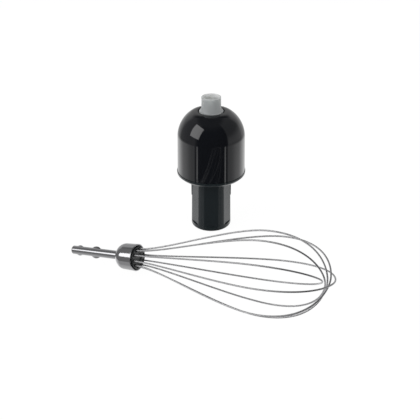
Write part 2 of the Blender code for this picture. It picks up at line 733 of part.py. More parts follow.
def make_coupling(parent):
    """Nylon coupling: an open socket with six flats inside, and a skirt that covers the dome's opening."""
    skirt_low = CRATER_RIM + SEAT_GAP
    flare = []
    steps = 5
    for i in range(steps + 1):
        a = math.pi / 2 * i / steps
        flare.append(
            (
                COUPLING_SKIRT_RADIUS - (COUPLING_SKIRT_RADIUS - COUPLING_RADIUS) * math.sin(a),
                skirt_low + COUPLING_SKIRT_RISE * (1 - math.cos(a)),
            )
        )
    screw_hole = SCREW_RADIUS + SEAT_GAP
    lead_radius = COUPLING_RADIUS - COUPLING_RIM
    profile = [
        (lead_radius, COUPLING_TOP),
        (COUPLING_RADIUS - EDGE, COUPLING_TOP),
        (COUPLING_RADIUS, COUPLING_TOP - EDGE),
        *flare[::-1],
        (COUPLING_SKIRT_RADIUS, COUPLING_BOTTOM + 2 * EDGE),
        (COUPLING_SKIRT_RADIUS - EDGE, COUPLING_BOTTOM),
        (SHAFT_RADIUS + SEAT_GAP, COUPLING_BOTTOM),
        (SHAFT_RADIUS + SEAT_GAP, SHAFT_HOLE_TOP),
        (screw_hole, SHAFT_HOLE_TOP),
        (screw_hole, COUPLING_TOP - COUPLING_LEAD_IN),
        (lead_radius - FINE_EDGE, COUPLING_TOP - COUPLING_LEAD_IN),
    ]
    coupling = turned("drive_coupling", profile, NATURAL_NYLON, parent)
    corner = COUPLING_HEX_FLATS / 2 / math.cos(math.pi / 6)
    socket_ends = COUPLING_HEX_BOTTOM, COUPLING_TOP - COUPLING_LEAD_IN + FINE_EDGE
    socket = cylinder_mesh("socket", corner, *socket_ends, 6)
    combine(coupling, make_cutter("coupling_socket", socket, parent), "DIFFERENCE")
    return coupling


def make_input_pieces(parent):
    """What the blender's motor turns: coupling, its screw, shaft, spacer, clip and sun gear."""
    make_coupling(parent)
    head_bottom = COUPLING_HEX_BOTTOM + SEAT_GAP
    screw_end = SHAFT_TOP - COUPLING_SCREW_BITE
    screw = [
        (0.0, head_bottom + COUPLING_SCREW_RISE),
        (COUPLING_SCREW_HEAD * 0.6, head_bottom + COUPLING_SCREW_RISE),
        (COUPLING_SCREW_HEAD, head_bottom + COUPLING_SCREW_RISE / 2),
        (COUPLING_SCREW_HEAD, head_bottom),
        (SCREW_RADIUS, head_bottom),
        (SCREW_RADIUS, screw_end),
        (0.0, screw_end),
    ]
    turned("coupling_screw", screw, BRIGHT_STEEL, parent, SCREW_STEPS)

    tapped = screw_end - SEAT_GAP
    groove = SHAFT_RADIUS - CLIP_GROOVE_DEPTH
    clip_top = BEARING_BOTTOM - SEAT_GAP
    clip_bottom = clip_top - CLIP_THICKNESS
    pilot_bottom = PLATE_TOP - PILOT_LENGTH
    shaft = [
        (0.0, tapped),
        (SCREW_RADIUS + SEAT_GAP, tapped),
        (SCREW_RADIUS + SEAT_GAP, SHAFT_TOP),
        (SHAFT_RADIUS - FINE_EDGE, SHAFT_TOP),
        (SHAFT_RADIUS, SHAFT_TOP - FINE_EDGE),
        (SHAFT_RADIUS, clip_top + SEAT_GAP / 2),
        (groove, clip_top + SEAT_GAP / 2),
        (groove, clip_bottom - SEAT_GAP / 2),
        (SHAFT_RADIUS, clip_bottom - SEAT_GAP / 2),
        (SHAFT_RADIUS, GEAR_BOTTOM),
        (PILOT_RADIUS, GEAR_BOTTOM - SEAT_GAP),
        (PILOT_RADIUS, pilot_bottom),
        (0.0, pilot_bottom),
    ]
    turned("input_shaft", shaft, BRIGHT_STEEL, parent, SMALL_STEPS)

    spacer_bore = SHAFT_RADIUS + SEAT_GAP
    spacer = plain_ring(spacer_bore, spacer_bore + SPACER_WALL, BEARING_TOP + SEAT_GAP, COUPLING_BOTTOM - SEAT_GAP)
    turned("spacer_sleeve", spacer, BRIGHT_STEEL, parent, SMALL_STEPS)
    clip = clip_outline(groove + SEAT_GAP, groove + SEAT_GAP + CLIP_WIDTH)
    plate("shaft_clip", [clip], clip_bottom, clip_top, BRIGHT_STEEL, parent)

    teeth = gear_outline(
        SUN_TEETH, TOOTH_ADDENDUM * GEAR_MODULE, TOOTH_DEDENDUM * GEAR_MODULE, GEAR_BACKLASH
    )
    bore = circle_outline(SHAFT_RADIUS + SEAT_GAP, SMALL_STEPS)
    plate("sun_gear", [teeth, bore], GEAR_BOTTOM, GEAR_TOP, BRIGHT_STEEL, parent)


def make_carrier_pieces(parent):
    """What turns the whisk: planet carrier with its cover and pins, and the output spindle."""
    pin_hole = PIN_RADIUS + SEAT_GAP
    pin_holes = []
    for angle in spread(PLANET_COUNT):
        pin_holes.append(circle_outline(pin_hole, 12, around(CARRIER_SPREAD, angle).to_tuple()[:2]))
    rim = circle_outline(CARRIER_RADIUS, FERRULE_STEPS)
    carrier = plate(
        "planet_carrier", [rim, hex_outline(HEX_HOLE_FLATS), *pin_holes], PLATE_BOTTOM, PLATE_TOP, GEAR_ACETAL, parent
    )
    carrier = as_mesh(carrier)
    for number, angle in enumerate(spread(PLANET_COUNT, math.pi / PLANET_COUNT), 1):
        # Pillars between the planets hold the cover at its distance.
        post = cylinder_mesh("post", PILLAR_RADIUS, PLATE_TOP - OVERRUN, COVER_BOTTOM - SEAT_GAP, 12)
        pillar = make_cutter(f"carrier_pillar_{number}", post, parent)
        pillar.location = around(PILLAR_SPREAD, angle)
        combine(carrier, pillar, "UNION")

    sun_tip = (SUN_TEETH / 2 + TOOTH_ADDENDUM) * GEAR_MODULE
    sun_gap = circle_outline(sun_tip + FREE_GAP, MID_STEPS)
    plate("carrier_cover", [rim, sun_gap, *pin_holes], COVER_BOTTOM, COVER_TOP, GEAR_ACETAL, parent)

    for number, angle in enumerate(spread(PLANET_COUNT), 1):
        pin_ends = PLATE_BOTTOM + SEAT_GAP, COVER_TOP - SEAT_GAP
        pin_mesh = cylinder_mesh(f"planet_pin_{number}", PIN_RADIUS, *pin_ends, 12)
        smooth(pin_mesh)
        pin = new_object(f"planet_pin_{number}", pin_mesh, parent, BRIGHT_STEEL)
        pin.location = around(CARRIER_SPREAD, angle)
    make_spindle(parent)


def make_spindle(parent):
    """Tubular output spindle. Its socket takes the stem, and two slots take the stem's lugs."""
    clip_top = BUSH_INSET - SEAT_GAP
    clip_bottom = clip_top - CLIP_THICKNESS
    groove = SPINDLE_RADIUS - CLIP_GROOVE_DEPTH
    hex_corner = SPINDLE_HEX_FLATS / 2 / math.cos(math.pi / 6)
    pilot_floor = PLATE_TOP - PILOT_LENGTH - SEAT_GAP
    profile = [
        (SPINDLE_FLANGE_RADIUS, PLATE_BOTTOM - SEAT_GAP),
        (SPINDLE_FLANGE_RADIUS, SPINDLE_FLANGE_BOTTOM),
        (SPINDLE_RADIUS, SPINDLE_FLANGE_BOTTOM),
        (SPINDLE_RADIUS, clip_top + SEAT_GAP / 2),
        (groove, clip_top + SEAT_GAP / 2),
        (groove, clip_bottom - SEAT_GAP / 2),
        (SPINDLE_RADIUS, clip_bottom - SEAT_GAP / 2),
        (SPINDLE_RADIUS, SPINDLE_RECESS),
        (0.0, SPINDLE_RECESS),
        (0.0, PLATE_BOTTOM - SEAT_GAP),
    ]
    spindle = turned("output_spindle", profile, PLUG_BLACK, parent)
    boss = cylinder_mesh("boss", hex_corner, PLATE_BOTTOM - OVERRUN, PLATE_TOP, 6)
    combine(spindle, make_cutter("spindle_hex", boss, parent), "UNION")
    pilot = cylinder_mesh("pilot", PILOT_RADIUS + SEAT_GAP, pilot_floor, PLATE_TOP + OVERRUN, 12)
    combine(spindle, make_cutter("pilot_bore", pilot, parent), "DIFFERENCE")
    socket_top = SPINDLE_RECESS + SOCKET_DEPTH
    bore = cylinder_mesh("bore", STEM_RADIUS + SEAT_GAP, -OVERRUN, socket_top, SMALL_STEPS)
    combine(spindle, make_cutter("stem_bore", bore, parent), "DIFFERENCE")
    reach = STEM_RADIUS + BIG_LUG["rise"] + SEAT_GAP
    half = BIG_LUG["thickness"] / 2 + SEAT_GAP
    slot = box_mesh("slot", (-reach, -half, -OVERRUN), (reach, half, socket_top - EDGE))
    combine(spindle, make_cutter("lug_slot", slot, parent), "DIFFERENCE")

    clip = clip_outline(groove + SEAT_GAP, groove + SEAT_GAP + CLIP_WIDTH)
    plate("spindle_clip", [clip], clip_bottom, clip_top, BRIGHT_STEEL, parent)


def make_planet(number, parent):
    """A planet gear on its own axis. The middle of one tooth points away from the sun."""
    angle = 2 * math.pi * (number - 1) / PLANET_COUNT
    axis = make_empty(f"planet_axis_{number}", around(CARRIER_SPREAD, angle), parent=parent)
    teeth = gear_outline(
        PLANET_TEETH, TOOTH_ADDENDUM * GEAR_MODULE, TOOTH_DEDENDUM * GEAR_MODULE, GEAR_BACKLASH, angle
    )
    bore = circle_outline(PIN_RADIUS + SEAT_GAP, 12)
    plate(f"planet_gear_{number}", [teeth, bore], GEAR_BOTTOM, GEAR_TOP, GEAR_ACETAL, axis)


def bezier(p0, p1, p2, p3, steps):
    """Points of a cubic curve, without its first."""
    points = []
    for i in range(1, steps + 1):
        t = i / steps
        a, b, c, d = (1 - t) ** 3, 3 * t * (1 - t) ** 2, 3 * t * t * (1 - t), t**3
        points.append(p0 * a + p1 * b + p2 * c + p3 * d)
    return points


def half_loop(number):
    """(along, radius) points of one strand, from its end in the holder to the loop's tip on the axis."""
    reach, widest, belly = LOOP_REACH[number], LOOP_RADIUS[number], LOOP_BELLY[number]
    start = Vector((HOLDER_PROUD, WIRE_CIRCLE))
    top = Vector((belly, widest))
    tip = Vector((reach, 0.0))
    neck = [
        start,
        start + Vector((NECK_HANDLES[0] * belly, 0.0)),
        top - Vector((NECK_HANDLES[1] * belly, 0.0)),
        top,
    ]
    nose = [
        top,
        top + Vector((TIP_HANDLES[0] * (reach - belly), 0.0)),
        tip + Vector((0.0, TIP_HANDLES[1] * widest)),
        tip,
    ]
    return [Vector((-WIRE_GRIP, WIRE_CIRCLE)), start, *bezier(*neck, 9), *bezier(*nose, 9)]


def loop_points(number):
    """A whole loop in the whisk's own frame: X along its axis, and Z up."""
    angle = LOOP_ROLL + math.pi * number / LOOP_COUNT
    across = Vector((0.0, math.cos(angle), math.sin(angle)))
    along = Vector((1.0, 0.0, 0.0))
    strand = half_loop(number)
    up = [along * s + across * r for s, r in strand]
    down = [along * s - across * r for s, r in strand[-2::-1]]
    return up + down


def resting_pose():
    """(tilt, height): how the whisk lies on the floor, on its stem end and its lowest wires."""
    stem = [
        (-STEM_REACH + STEM_BEVEL, STEM_RADIUS),
        (-SMALL_LUG["back"], STEM_RADIUS + SMALL_LUG["rise"]),
        (-BIG_LUG["back"], STEM_RADIUS + BIG_LUG["rise"]),
    ]
    wires = []
    for number in range(LOOP_COUNT):
        wires += [(p.x, WIRE_RADIUS - p.z) for p in loop_points(number) if p.x > 0.0]
    tilt = 0.0
    for _ in range(12):
        pivot = max(stem, key=lambda f: f[1] * math.cos(tilt) - f[0] * math.sin(tilt))
        tilt = max(math.atan2(drop - pivot[1], s - pivot[0]) for s, drop in wires)
    return tilt, pivot[1] * math.cos(tilt) - pivot[0] * math.sin(tilt)


def footprint_middle(tilt):
    """Middle of the pair's footprint, measured from the middle of the ferrule's rim."""
    tip = max(LOOP_REACH) * math.cos(tilt) + WIRE_RADIUS
    back = -STEM_REACH * math.cos(tilt) - (STEM_RADIUS - STEM_BEVEL) * math.sin(tilt)
    side = 0.0
    for number in range(LOOP_COUNT):
        side = max([side] + [abs(p.y) + WIRE_RADIUS for p in loop_points(number)])
    low_x = min(back, RIM_TO_ADAPTER.x - LIP_RADIUS)
    high_x = max(tip, RIM_TO_ADAPTER.x + LIP_RADIUS)
    low_y = min(-side, RIM_TO_ADAPTER.y - LIP_RADIUS)
    high_y = max(side, RIM_TO_ADAPTER.y + LIP_RADIUS)
    return Vector(((low_x + high_x) / 2, (low_y + high_y) / 2, 0.0))


def make_stem(parent):
    """Round steel stem with two pairs of pressed lugs, which drive the whisk."""
    end = -FERRULE_LENGTH + STEM_INSET
    profile = [
        (0.0, end),
        (STEM_RADIUS, end),
        (STEM_RADIUS, -STEM_REACH + STEM_BEVEL),
        (STEM_RADIUS - STEM_BEVEL, -STEM_REACH),
        (0.0, -STEM_REACH),
    ]
    # The turning axis is Z, so an empty lays it along the whisk's own X.
    stem = turned("whisk_stem", profile, POLISHED_STEEL, parent, SMALL_STEPS)
    stem.rotation_euler.y = math.pi / 2
    for word, lug in (("big", BIG_LUG), ("small", SMALL_LUG)):
        mesh = bpy.data.meshes.new(f"{word}_lug")
        shape = bmesh.new()
        sizes = (lug["length"] / 2, lug["thickness"] / 2, STEM_RADIUS + lug["rise"], 1.0)
        bmesh.ops.create_uvsphere(
            shape, u_segments=12, v_segments=12, radius=1.0, matrix=Matrix.Diagonal(sizes)
        )
        shape.to_mesh(mesh)
        shape.free()
        helper = make_cutter(f"{word}_lug", mesh, parent)
        helper.location.x = -lug["back"]
        combine(stem, helper, "UNION")
    return stem


def make_ferrule(parent):
    """Drawn steel cup: a rounded closed end with a hole for the stem, and an open mouth for the holder."""
    hole = STEM_RADIUS + SEAT_GAP
    bell_start = -FERRULE_LENGTH + BELL_LENGTH
    shoulder = FERRULE_BELL_RADIUS - hole - EDGE
    outside, inside = [], []
    steps = 4
    for i in range(steps + 1):
        a = math.pi / 2 * i / steps
        outside.append(
            (FERRULE_BELL_RADIUS - shoulder * (1 - math.sin(a)), bell_start - BELL_LENGTH * math.cos(a))
        )
        inside.append(
            (
                FERRULE_BELL_RADIUS - FERRULE_WALL - (shoulder - FERRULE_WALL) * (1 - math.sin(a)),
                bell_start - (BELL_LENGTH - FERRULE_WALL) * math.cos(a),
            )
        )
    mouth = FERRULE_RIM_RADIUS - FERRULE_WALL
    rim = [
        (FERRULE_RIM_RADIUS, -FINE_EDGE),
        (FERRULE_RIM_RADIUS - FINE_EDGE, 0.0),
        (mouth + FINE_EDGE, 0.0),
        (mouth, -FINE_EDGE),
    ]
    profile = [(hole, -FERRULE_LENGTH), *outside, *rim, *inside[::-1], (hole, -FERRULE_LENGTH + FERRULE_WALL)]
    ferrule = turned("ferrule_cup", profile, POLISHED_STEEL, parent, FERRULE_STEPS)
    ferrule.rotation_euler.y = math.pi / 2
    return ferrule


def make_wire_holder(parent):
    """Black plug in the ferrule's mouth. Each wire comes out of a funnel in its face."""
    radius = FERRULE_BELL_RADIUS - FERRULE_WALL - SEAT_GAP
    profile = [
        (0.0, HOLDER_PROUD - HOLDER_DISH_DEPTH),
        (HOLDER_DISH_RADIUS - EDGE, HOLDER_PROUD - HOLDER_DISH_DEPTH),
        (HOLDER_DISH_RADIUS, HOLDER_PROUD),
        (radius - HOLDER_CHAMFER, HOLDER_PROUD),
        (radius, HOLDER_PROUD - HOLDER_CHAMFER),
        (radius, -HOLDER_DEPTH),
        (0.0, -HOLDER_DEPTH),
    ]
    holder = turned("wire_holder", profile, PLUG_BLACK, parent, FERRULE_STEPS)
    holder.rotation_euler.y = math.pi / 2
    for number, angle in enumerate(spread(2 * LOOP_COUNT, LOOP_ROLL), 1):
        place = Matrix.Translation((0.0, WIRE_CIRCLE * math.cos(angle), WIRE_CIRCLE * math.sin(angle)))
        lay = place @ Matrix.Rotation(math.pi / 2, 4, "Y")
        hole = cylinder_mesh("hole", WIRE_RADIUS + SEAT_GAP, -WIRE_GRIP - SEAT_GAP, HOLDER_PROUD, 8)
        mouth_end = HOLDER_PROUD + EDGE
        mouth = cylinder_mesh(
            "mouth", WIRE_RADIUS + SEAT_GAP / 2, HOLDER_PROUD - FUNNEL_DEPTH, mouth_end, 8, FUNNEL_RADIUS
        )
        for word, mesh in (("hole", hole), ("funnel", mouth)):
            mesh.transform(lay)
            cutter = make_cutter(f"wire_{word}_{number}", mesh, parent)
            combine(holder, cutter, "DIFFERENCE")
    return holder


def make_wire_loop(number, parent):
    """One bent wire, which makes two of the whisk's strands."""
    name = f"wire_loop_{number + 1}"
    points = loop_points(number)
    curve = bpy.data.curves.new(name, "CURVE")
    curve.dimensions = "3D"
    curve.bevel_depth = WIRE_RADIUS
    curve.bevel_resolution = 1
    curve.use_fill_caps = True
    curve.twist_mode = "MINIMUM"
    spline = curve.splines.new("POLY")
    spline.points.add(len(points) - 1)
    for point, co in zip(spline.points, points):
        point.co = (*co, 1.0)
    return new_object(name, curve, parent, POLISHED_STEEL)


def main():
    tilt, height = resting_pose()
    middle = footprint_middle(tilt)
    adapter_place = RIM_TO_ADAPTER - middle
    adapter = make_empty("adapter_axis", adapter_place, (0.0, 0.0, ADAPTER_TURN))
    make_nose_housing(adapter)
    make_dome_housing(adapter)
    make_housing_screws(adapter)
    make_fixed_pieces(adapter)

    input_axis = make_empty("input_axis", parent=adapter)
    make_input_pieces(input_axis)
    carrier_axis = make_empty("carrier_axis", parent=adapter)
    make_carrier_pieces(carrier_axis)
    for number in range(1, PLANET_COUNT + 1):
        make_planet(number, carrier_axis)

    whisk_place = Vector((0.0, 0.0, height)) - middle
    whisk = make_empty("whisk_axis", whisk_place, (0.0, -tilt, 0.0))
    make_stem(whisk)
    make_ferrule(whisk)
    make_wire_holder(whisk)
    for number in range(LOOP_COUNT):
        make_wire_loop(number, whisk)


main()
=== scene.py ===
# %% [markdown]
# # A hand blender's whisk attachment, dressed for its photograph
#
# The object has two halves. A gear adapter stands on its nose: glossy dome, satin nose, and a pale
# coupling on top. A wire whisk lies in front of it. The CAD model gives every piece its place and
# size, and this lesson gives the pieces that show their fine surface and every piece its finish.
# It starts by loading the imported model, which stays as it is from here on.

# %% Load the frame
import json
import math

import bmesh
import bpy
import numpy as np
from mathutils import Matrix, Vector


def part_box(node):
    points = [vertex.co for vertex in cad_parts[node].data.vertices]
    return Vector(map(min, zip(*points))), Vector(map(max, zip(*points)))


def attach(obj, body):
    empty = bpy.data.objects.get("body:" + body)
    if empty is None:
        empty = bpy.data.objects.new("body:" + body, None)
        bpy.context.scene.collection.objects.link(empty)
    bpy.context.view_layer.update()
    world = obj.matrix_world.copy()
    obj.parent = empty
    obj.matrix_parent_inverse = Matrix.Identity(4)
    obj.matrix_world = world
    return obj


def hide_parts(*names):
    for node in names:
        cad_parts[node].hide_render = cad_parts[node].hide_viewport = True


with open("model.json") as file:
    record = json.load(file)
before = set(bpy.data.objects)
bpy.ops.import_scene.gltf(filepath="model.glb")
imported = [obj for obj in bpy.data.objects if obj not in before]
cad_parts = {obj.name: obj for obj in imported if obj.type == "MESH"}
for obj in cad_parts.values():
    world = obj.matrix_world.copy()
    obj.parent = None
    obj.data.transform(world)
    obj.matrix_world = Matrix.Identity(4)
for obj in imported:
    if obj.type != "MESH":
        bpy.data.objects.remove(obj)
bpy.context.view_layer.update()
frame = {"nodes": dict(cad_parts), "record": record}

MM = 0.001


def in_mm(corner):
    """A place in millimetres, short enough to print."""
    return [round(length / MM, 2) for length in corner]


# %% [markdown]
# ## Where the two halves are
#
# Nearly every piece here is round, so it is easiest to shape in a frame whose Z is its own axis.
# The adapter's axis goes up through the middle of its coupling. The whisk lies on the floor at an
# angle that its own shape gives, so its axis is read from the points of its stem: they lie evenly
# round the axis, and the direction in which they spread most is the axis itself.

# %% The adapter's and the whisk's frames
CAMERA_AZIMUTH = math.radians(25.6)


def node_points(node):
    """The corner points of a CAD node, each one once."""
    mesh = frame["nodes"][node].data
    flat = np.empty(len(mesh.vertices) * 3)
    mesh.vertices.foreach_get("co", flat)
    return np.unique(flat.reshape(-1, 3).round(7), axis=0)


def half_width(node):
    """Half of a round adapter piece's width, measured from the adapter's axis."""
    points = node_points(node) - np.array(ADAPTER_FOOT)
    return float(np.hypot(points[:, 0], points[:, 1]).max())


def bottom(node):
    """The height of a CAD node's lowest point."""
    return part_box(node)[0].z


def top(node):
    """The height of a CAD node's highest point."""
    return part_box(node)[1].z


low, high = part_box("drive_coupling")
ADAPTER_FOOT = Vector(((low.x + high.x) / 2, (low.y + high.y) / 2, 0.0))
adapter_frame = Matrix.Translation(ADAPTER_FOOT) @ Matrix.Rotation(CAMERA_AZIMUTH, 4, "Z")

stem_points = node_points("whisk_stem")
stem_middle = stem_points.mean(axis=0)
spread_direction = np.linalg.svd(stem_points - stem_middle)[2][0]
whisk_axis = Vector(spread_direction * np.sign(spread_direction[0]))
cup_reach = (node_points("ferrule_cup") - stem_middle) @ np.array(whisk_axis)
rim_centre = Vector(stem_middle) + whisk_axis * float(cup_reach.max())

side = Vector((0.0, 1.0, 0.0))
upward = whisk_axis.cross(side).normalized()
columns = Matrix((whisk_axis, side, upward)).transposed().to_4x4()
whisk_frame = Matrix.Translation(rim_centre) @ columns
turning_frame = whisk_frame @ Matrix.Rotation(math.pi / 2, 4, "Y")
print("whisk tilt in degrees:", round(math.degrees(math.asin(whisk_axis.z)), 2))
print("ferrule rim in mm:", in_mm(rim_centre))

# %% [markdown]
# ## A lathe that can carve
#
# A Screw modifier turns a profile into a round piece, but the nose has flats and lugs, and the
# coupling has six flats inside. So this lathe takes a second function, which may push a ring's
# points in or out at each angle. Corners are rounded in the profile itself, because even a sharp
# moulding catches a thin line of light at its edges. A point on each side of a rounded corner keeps
# the flat faces beside it flat to the eye.

# %% Round the corners of a profile
GUARD = 0.00012
CORNER_STEPS = 4
SIDE_SHARE = 0.49


def bend(start, corner, end, steps):
    """Points of a soft curve from start to end, drawn towards a corner."""
    points = []
    for k in range(steps + 1):
        t = k / steps
        points.append(start * (1 - t) ** 2 + corner * 2 * t * (1 - t) + end * t**2)
    return points


def rounded(corners):
    """An outline from (radius, height) corners. A third number is how far a corner is rounded."""
    points = []
    for i, (r, z, *rounding) in enumerate(corners):
        here = Vector((r, z))
        if not rounding:
            points.append(here)
            continue
        before = Vector(corners[i - 1][:2]) - here
        after = Vector(corners[i + 1][:2]) - here
        reach = min(rounding[0], before.length * SIDE_SHARE, after.length * SIDE_SHARE)
        guard = min(GUARD, reach / 2)
        start = here + before.normalized() * reach
        end = here + after.normalized() * reach
        points.append(start + before.normalized() * guard)
        points += bend(start, here, end, CORNER_STEPS)
        points.append(end + after.normalized() * guard)
    return points


def level(height, *radii):
    """Sharp corners that lie at one height."""
    return [(radius, height) for radius in radii]


# %% Meshes and objects
SHARP_ANGLE = math.radians(38)


def add_object(name, data):
    obj = bpy.data.objects.new(name, data)
    bpy.context.scene.collection.objects.link(obj)
    return obj


def mesh_of(shape, name):
    """A bmesh as a mesh."""
    mesh = bpy.data.meshes.new(name)
    shape.to_mesh(mesh)
    shape.free()
    return mesh


def evaluated_mesh(obj):
    """What an object's modifiers make of it, as a plain mesh."""
    bpy.context.view_layer.update()
    graph = bpy.context.evaluated_depsgraph_get()
    return bpy.data.meshes.new_from_object(obj.evaluated_get(graph))


def shade(mesh):
    """Smooth shading that stops at real edges."""
    mesh.shade_smooth()
    mesh.set_sharp_from_angle(angle=SHARP_ANGLE)


def finished(name, mesh, material):
    """An object at the origin, shaded and with its finish."""
    mesh.materials.clear()
    mesh.materials.append(material)
    shade(mesh)
    return add_object(name, mesh)


def outward(shape):
    """Makes a closed shape's faces point out."""
    if shape.calc_volume(signed=True) < 0:
        bmesh.ops.reverse_faces(shape, faces=shape.faces)


# %% Turn a profile, carving it at each angle
ON_AXIS = 1e-7


def lathe_mesh(name, outline, steps, place, carve=None):
    """The mesh of an outline turned about Z. An outline off the axis at both ends closes on itself."""
    shape = bmesh.new()
    rings = []
    for r, z in outline:
        if r < ON_AXIS:
            rings.append([shape.verts.new(place @ Vector((0.0, 0.0, z)))])
            continue
        ring = []
        for j in range(steps):
            angle = 2 * math.pi * j / steps
            radius = carve(angle, r, z) if carve else r
            here = Vector((radius * math.cos(angle), radius * math.sin(angle), z))
            ring.append(shape.verts.new(place @ here))
        rings.append(ring)
    pairs = list(zip(rings, rings[1:]))
    if len(rings[0]) > 1 and len(rings[-1]) > 1:
        pairs.append((rings[-1], rings[0]))
    for first, second in pairs:
        for j in range(steps):
            k = (j + 1) % steps
            if len(first) == 1:
                shape.faces.new((first[0], second[k], second[j]))
            elif len(second) == 1:
                shape.faces.new((first[j], first[k], second[0]))
            else:
                shape.faces.new((first[j], first[k], second[k], second[j]))
    outward(shape)
    return mesh_of(shape, name)


def turned(name, outline, steps, material, place=adapter_frame, carve=None):
    return finished(name, lathe_mesh(name, outline, steps, place, carve), material)


# %% Cut holes, and keep only the result
def cut(obj, cutters):
    """Takes each cutter's mesh away from a piece, and then removes the cutters."""
    helpers = []
    for number, mesh in enumerate(cutters):
        helper = add_object(f"{obj.name}_cutter_{number}", mesh)
        helpers.append(helper)
        boolean = obj.modifiers.new(helper.name, "BOOLEAN")
        boolean.operation = "DIFFERENCE"
        boolean.solver = "EXACT"
        boolean.object = helper
    result = evaluated_mesh(obj)
    obj.modifiers.clear()
    obj.data = result
    for helper in helpers:
        bpy.data.objects.remove(helper, do_unlink=True)
    shade(result)


def rod_mesh(name, radius, z0, z1, steps, place, top_radius=None):
    """A closed rod or cone along its own Z."""
    outline = [(0.0, z1), (top_radius or radius, z1), (radius, z0), (0.0, z0)]
    return lathe_mesh(name, outline, steps, place)


def block_mesh(name, low, high, place):
    """A closed box between two corners."""
    low, high = Vector(low), Vector(high)
    shape = bmesh.new()
    bmesh.ops.create_cube(shape, size=1.0)
    scale = Matrix.Translation((low + high) / 2) @ Matrix.Diagonal((*(high - low), 1.0))
    bmesh.ops.transform(shape, matrix=place @ scale, verts=shape.verts)
    outward(shape)
    return mesh_of(shape, name)


# %% [markdown]
# ## Finishes
#
# A new plastic or steel part looks plain, but it is never perfectly even: a moulding has faint waves
# and a change of gloss where it cooled, and drawn steel has fine lines along the way it was drawn.
# Each finish below takes its own noise, at that finish's real scale, for gloss and for height.
# Object coordinates are metres here, because every piece keeps its place in its mesh.
#
# One function adds every node of this lesson: it sets the inputs that it is given as values and
# links the ones that it is given as sockets, and it hands back the output that the next node needs.

# %% Nodes, and a shader with its own noise
# Nearly all of a noise lies between these two.
MIDDLE = (0.3, 0.7)


def add_node(tree, kind, inputs=(), output=0, **settings):
    """Adds a node of the tree's own family, and returns one of its outputs."""
    node = tree.nodes.new(tree.bl_idname.removesuffix("Tree") + kind)
    for name, value in settings.items():
        setattr(node, name, value)
    for name, value in dict(inputs).items():
        if isinstance(value, bpy.types.NodeSocket):
            tree.links.new(value, node.inputs[name])
        else:
            node.inputs[name].default_value = value
    return node.outputs[output] if len(node.outputs) else None


def noise(tree, scale, detail=4.0, stretch=(1.0, 1.0, 1.0), turn=(0.0, 0.0, 0.0)):
    """A noise on Object coordinates. stretch slows it down along an axis, and turn lays that axis."""
    where = add_node(tree, "TexCoord", output="Object")
    laid = add_node(tree, "Mapping", {"Vector": where, "Rotation": turn, "Scale": stretch})
    return add_node(tree, "TexNoise", {"Vector": laid, "Scale": scale, "Detail": detail}, "Fac")


def make_finish(name, gloss, height, inputs, **lines):
    """A Principled shader. gloss is a noise's scale, the roughness at its two ends and its detail.
    height is a noise's scale, how high its waves are and its detail."""
    material = bpy.data.materials.new(name)
    material.use_nodes = True
    tree = material.node_tree
    shader = tree.nodes["Principled BSDF"]
    for socket, value in inputs.items():
        shader.inputs[socket].default_value = value
    scale, low, high, *detail = gloss
    spread = {"From Min": MIDDLE[0], "From Max": MIDDLE[1], "To Min": low, "To Max": high}
    spread["Value"] = noise(tree, scale, *detail, **lines)
    tree.links.new(add_node(tree, "MapRange", spread, "Result"), shader.inputs["Roughness"])
    scale, depth, *detail = height
    waves = {"Height": noise(tree, scale, *detail, **lines), "Distance": depth, "Strength": 1.0}
    tree.links.new(add_node(tree, "Bump", waves, "Normal"), shader.inputs["Normal"])
    return material


def vary_colour(material, scale, dark, light, detail=4.0):
    """Lets the base colour wander between two colours."""
    tree = material.node_tree
    colour = add_node(tree, "ValToRGB", {"Fac": noise(tree, scale, detail)}, "Color")
    for element, place, tone in zip(colour.node.color_ramp.elements, MIDDLE, (dark, light)):
        element.position = place
        element.color = (*tone, 1.0)
    tree.links.new(colour, tree.nodes["Principled BSDF"].inputs["Base Color"])


# %% Another look inside or outside a radius
FADE_IN = 0.0002
FADE_OUT = 0.0006


def outside_radius(tree, radius):
    """0 within a radius of the adapter's axis and 1 outside it."""
    where = add_node(tree, "TexCoord", output="Object")
    offset = add_node(tree, "VectorMath", {0: where, 1: ADAPTER_FOOT}, operation="SUBTRACT")
    flat = add_node(tree, "VectorMath", {0: offset, 1: (1.0, 1.0, 0.0)}, operation="MULTIPLY")
    distance = add_node(tree, "VectorMath", {0: flat}, "Value", operation="LENGTH")
    fade = {"Value": distance, "From Min": radius - FADE_IN, "From Max": radius + FADE_OUT}
    return add_node(tree, "MapRange", fade, "Result")


def change(material, socket, radius, kind, inside=None, outside=None):
    """Gives a shader's input another value inside or outside a radius of the adapter's axis."""
    tree = material.node_tree
    target = tree.nodes["Principled BSDF"].inputs[socket]
    plain = target.links[0].from_socket
    ends = {"Factor": outside_radius(tree, radius), "A": inside or plain, "B": outside or plain}
    tree.links.new(add_node(tree, "Mix", ends, "Result", data_type=kind), target)


# %% [markdown]
# The dome comes from a polished mould, so it mirrors the room. Its waves are some centimetres long
# and only a few hundredths of a millimetre high. The nose comes from a spark-eroded mould, whose
# fine grain scatters the light. Both are near black, the nose with a touch of green. The edge of its
# flange is polished as the dome is, because the two meet there.

# %% Black mouldings
FLANGE_INNER = 0.0236
FLANGE_GLOSS = 0.06


def painted(*colour, **more):
    """The inputs for a base colour, with any others by name."""
    return {"Base Color": (*colour, 1.0), **more}


gloss_colour = painted(0.0040, 0.0048, 0.0068, IOR=1.55)
gloss_black = make_finish("gloss_black", (45.0, 0.045, 0.085), (38.0, 0.00006, 2.0), gloss_colour)

satin_colour = painted(0.0146, 0.0194, 0.0222, IOR=1.39)
satin_black = make_finish("satin_black", (120.0, 0.20, 0.28), (5200.0, 0.000003, 3.0), satin_colour)
change(satin_black, "Roughness", FLANGE_INNER, "FLOAT", outside=FLANGE_GLOSS)

